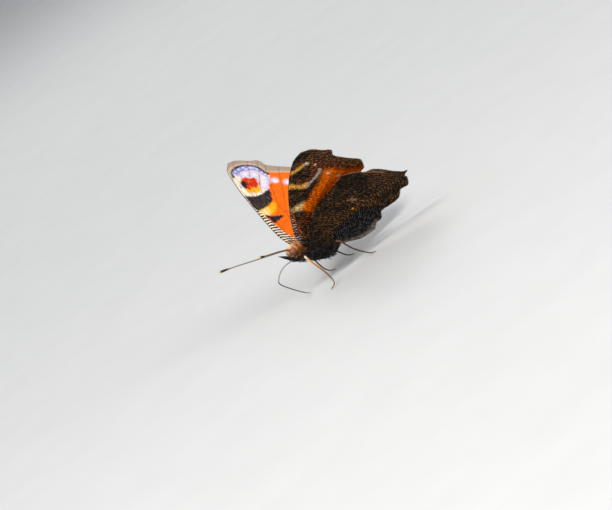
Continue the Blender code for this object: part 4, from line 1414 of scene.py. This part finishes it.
class ButterflyEyes(bpy.types.Operator):
    """Build the two faceted eyes"""

    bl_idname = "butterfly.eyes"
    bl_label = "Eyes"

    def execute(self, context):
        finish = Finish("eye_facets", Coat_Weight=0.12, Coat_Roughness=0.25, Specular_IOR_Level=0.3)
        place, grain, level = finish.place(), finish.grain(1.2), EYE[0][2] + STANCE
        spots = finish.smooth(finish.cells(place, 2.4), 0.25, 0.45)
        # Painted shade: the eye is darkened towards its lower side, as if lit from above.
        above = finish.smooth(finish.axis(place, "Z") + grain * 0.5, level - 0.3, level + 0.8)
        colour = finish.mix(grain, linear(124, 58, 28), linear(206, 116, 70))
        colour = finish.mix(spots * 0.4, colour, linear(96, 44, 22))
        colour = finish.mix(above * 0.75 + 0.25, linear(34, 18, 12), colour)
        material = finish.end(colour, 0.3 + grain * 0.15, finish.noise(place, 20.0), 0.08)
        tree = Growth("facets")
        tree.close(tree.get("GeometryNodeDualMesh", None, {0: tree.given["Geometry"]}))
        for side, end in SIDES:
            work = bmesh.new()
            bmesh.ops.create_icosphere(work, subdivisions=5, radius=1.0)
            centre, half = mirrored(EYE[0], side), np.array(EYE[1])
            for vertex in work.verts:
                vertex.co = Vector(to_frame(centre + np.array(vertex.co) * half * 0.9))
            ball = link("eye_ball" + end, bpy.data.meshes.new("eye_ball" + end))
            work.to_mesh(ball.data)
            work.free()
            eye = grown(ball, "eye_facets" + end, tree, Material=material)
            bpy.data.objects.remove(ball)
            work = bmesh.new()
            work.from_mesh(eye.data)
            bmesh.ops.poke(work, faces=work.faces, offset=0.008 * MM, center_mode="MEAN")
            bmesh.ops.recalc_face_normals(work, faces=work.faces)
            work.to_mesh(eye.data)
            work.free()
            eye.data.shade_smooth()
            settle(eye, "eye", "eye" + end)
        return {"FINISHED"}


class ButterflyAntennae(bpy.types.Operator):
    """String the antennae's rings along their path and add the clubs"""

    bl_idname = "butterfly.antennae"
    bl_label = "Antennae"

    def execute(self, context):
        finish = Finish("antenna_rings", Specular_IOR_Level=0.4)
        ring, along, grain = finish.field("ring"), finish.field("along"), finish.grain(5.0)
        shaft = finish.mix(finish.smooth(ring, 0.14, 0.34), linear(214, 198, 164), linear(66, 46, 30))
        colour = finish.mix(finish.smooth(along, 0.84, 0.88), shaft, linear(30, 20, 16))
        tip = finish.smooth(along + grain * 0.02, 0.98, 0.992)
        colour = finish.mix(tip, colour, linear(232, 200, 120))
        material = finish.end(colour, 0.5 + grain * 0.2, ring + grain, 0.2)
        sides, levels = 12, ((0.0, 0.86), (0.18, 0.98), (0.55, 1.0), (1.0, 0.9), (1.02, 0.6))
        points = [(size * c, size * s, level) for level, size in levels for c, s in circle(sides)]
        faces = bands(len(levels), sides) + [tuple(reversed(range(sides)))]
        faces.append(tuple(range(len(points) - sides, len(points))))
        bead = new_object("antenna_bead", points, faces)
        store(bead, "ring", [point[2] for point in points])
        tree = beads_tree()
        share = np.linspace(0, 1, ANTENNA_STEPS)
        size = np.interp(share, [0, 0.02, 0.05, 0.8, 0.86, 0.92, 0.975, 1.0],
                         [0.22, 0.22, 0.16, 0.14, 0.21, 0.31, 0.29, 0.12])
        for side, end in SIDES:
            route = at_fractions(smooth_line(ANTENNA[side], 12), share)
            step = line_lengths(route)[-1] / (ANTENNA_RINGS - 1)
            antenna = strung(tree, "antenna_shaft" + end, side, route, unit(np.gradient(route, axis=0)),
                             np.tile([0.0, 0.0, 1.0], (len(route), 1)),
                             {"girth": size * MM, "along": share}, Bead=bead, Count=ANTENNA_RINGS,
                             Length=step * 1.03 * MM, Stray=0.0, Seed=1, Material=material)
            antenna.data.shade_smooth()
            settle(antenna, "feeler", "antenna" + end)
        bpy.data.objects.remove(bead)
        return {"FINISHED"}


class ButterflyProboscis(bpy.types.Operator):
    """Build the uncurled proboscis with its two grooved halves"""

    bl_idname = "butterfly.proboscis"
    bl_label = "Proboscis"

    def execute(self, context):
        finish = Finish("proboscis_horn", Coat_Weight=0.2, Coat_Roughness=0.3)
        along, grain = finish.field("along"), finish.grain(3.0)
        rings = finish.number("SINE", along * 1100)
        colour = finish.mix(finish.smooth(along + grain * 0.06, 0.44, 0.56), linear(150, 142, 132),
                            linear(54, 38, 28))
        colour = finish.mix(finish.smooth(rings, 0.2, 0.9) * 0.3, colour, linear(30, 22, 18))
        material = finish.end(colour, 0.4 + grain * 0.15, rings, 0.25)
        share = np.linspace(0, 1, PROBOSCIS_STEPS)
        line = at_fractions(smooth_line([(3.9, 0.0, 0.6)] + PROBOSCIS, 12), share)
        size = np.interp(share, [0, 0.1, 0.9, 1], [0.15, 0.13, 0.1, 0.05])
        points, faces = merged([tube(line + [0, offset, 0], size, 12) for offset in (-0.07, 0.07)])
        piece = new_object("proboscis_tube", to_frame(points), faces, [material])
        store(piece, "along", np.tile(np.concatenate([np.repeat(share, 12), [0, 1]]), 2))
        settle(piece, "feeler", "proboscis")
        return {"FINISHED"}


class ButterflyClaws(bpy.types.Operator):
    """Build the claws of the four walking legs"""

    bl_idname = "butterfly.claws"
    bl_label = "Claws"

    def execute(self, context):
        finish = Finish("claw_horn", Coat_Weight=0.3, Coat_Roughness=0.25)
        grain = finish.grain(6.0)
        colour = finish.mix(grain, linear(26, 16, 10), linear(74, 46, 26))
        material = finish.end(colour, 0.35 + grain * 0.1, grain, 0.1)
        shapes = []
        for name, (side, _) in itertools.product(("midleg", "hindleg"), SIDES):
            line = leg_line(name, side, 20)[0]
            ankle = line[-1]
            way = unit((ankle - line[-4]) * (1, 1, 0))
            cross = np.array([-way[1], way[0], 0.0])
            for hand in (-1, 1):
                hook = [ankle + way * 0.02 + cross * 0.1 * hand,
                        ankle + way * 0.3 + cross * 0.22 * hand + [0, 0, 0.05],
                        ankle + way * 0.5 + cross * 0.27 * hand - [0, 0, 0.12],
                        ankle + way * 0.52 + cross * 0.26 * hand - [0, 0, 0.28]]
                shapes.append(tube(mirrored(smooth_line(hook, 5), side),
                                   np.linspace(0.075, 0.015, 16), 8))
        points, faces = merged(shapes)
        settle(new_object("claws", to_frame(points), faces, [material]), "limb")
        return {"FINISHED"}


class ButterflyStage(bpy.types.Operator):
    """Set the camera, the pale floor and the soft lights"""

    bl_idname = "butterfly.stage"
    bl_label = "Stage"

    def execute(self, context):
        scene = context.scene
        scene.view_settings.view_transform = "Standard"
        right, down, away = (Vector(d).normalized() for d in (PICTURE_RIGHT, PICTURE_DOWN, AWAY))
        right = (right - away * right.dot(away)).normalized()
        down = away.cross(right).normalized()
        lens = bpy.data.cameras.new("camera")
        lens.lens = LENS
        lens.sensor_width = 36.0
        lens.clip_start = 0.01
        place = (Vector(to_frame((0, 0, 0))) - away * CAMERA_DISTANCE * MM
                 + right * CAMERA_SHIFT[0] * MM + down * CAMERA_SHIFT[1] * MM)
        turned = Matrix((right, -down, -away)).transposed().to_4x4()
        scene.camera = link("camera", lens)
        scene.camera.matrix_world = Matrix.Translation(place) @ turned

        finish = Finish("floor_paint", Specular_IOR_Level=0.2)
        grain = finish.noise(finish.place(1.0), 60.0, 4.0)
        colour = finish.mix(grain, linear(200, 199, 195), linear(208, 207, 203))
        material = finish.end(colour, 0.75 + grain * 0.1)
        corners = [(x * FLOOR_HALF, y * FLOOR_HALF, 0) for x, y in ((-1, -1), (1, -1), (1, 1), (-1, 1))]
        new_object("floor", corners, [(0, 1, 2, 3)], [material])

        scene.world = bpy.data.worlds.new("studio")
        scene.world.use_nodes = True
        sky = scene.world.node_tree.nodes["Background"].inputs
        sky["Color"].default_value = (0.86, 0.9, 1.0, 1.0)
        sky["Strength"].default_value = 0.5
        for name, spot, width, power in (("key_light", (-0.42, -0.42, 0.62), 0.35, 6.4),
                                         ("fill_light", (0.45, -0.55, 0.35), 0.5, 2.0),
                                         ("back_light", (0.2, 0.6, 0.5), 0.4, 1.6)):
            light = bpy.data.lights.new(name, "AREA")
            light.size = width
            light.energy = power
            lamp = link(name, light)
            lamp.location = spot
            toward = Vector((0, 0, 0.015)) - lamp.location
            lamp.rotation_euler = toward.to_track_quat("-Z", "Y").to_euler()
        return {"FINISHED"}


STEPS = (ButterflyForewings, ButterflyHindwings, ButterflyFringe, ButterflySkin, ButterflyCoat,
         ButterflyEyes, ButterflyAntennae, ButterflyProboscis, ButterflyClaws, ButterflyStage)


class ButterflyPanel(bpy.types.Panel):
    """Sizes, colours and steps of the butterfly."""

    bl_idname = "BUTTERFLY_PT_main"
    bl_label = "Peacock Butterfly"
    bl_space_type = "VIEW_3D"
    bl_region_type = "UI"
    bl_category = "Butterfly"

    def draw(self, context):
        for group in (context.scene.butterfly_sizes, context.scene.butterfly_colours):
            for name in group.__annotations__:
                self.layout.prop(group, name)
        for step in STEPS:
            self.layout.operator(step.bl_idname)


CLASSES = (ButterflyColours, ButterflySizes, ButterflyPanel) + STEPS


def register():
    for item in CLASSES:
        bpy.utils.register_class(item)
    bpy.types.Scene.butterfly_colours = bpy.props.PointerProperty(type=ButterflyColours)
    bpy.types.Scene.butterfly_sizes = bpy.props.PointerProperty(type=ButterflySizes)


def unregister():
    del bpy.types.Scene.butterfly_sizes
    del bpy.types.Scene.butterfly_colours
    for item in reversed(CLASSES):
        bpy.utils.unregister_class(item)


def main():
    register()
    for step in STEPS:
        family, name = step.bl_idname.split(".")
        getattr(getattr(bpy.ops, family), name)()


if __name__ == "__main__":
    main()
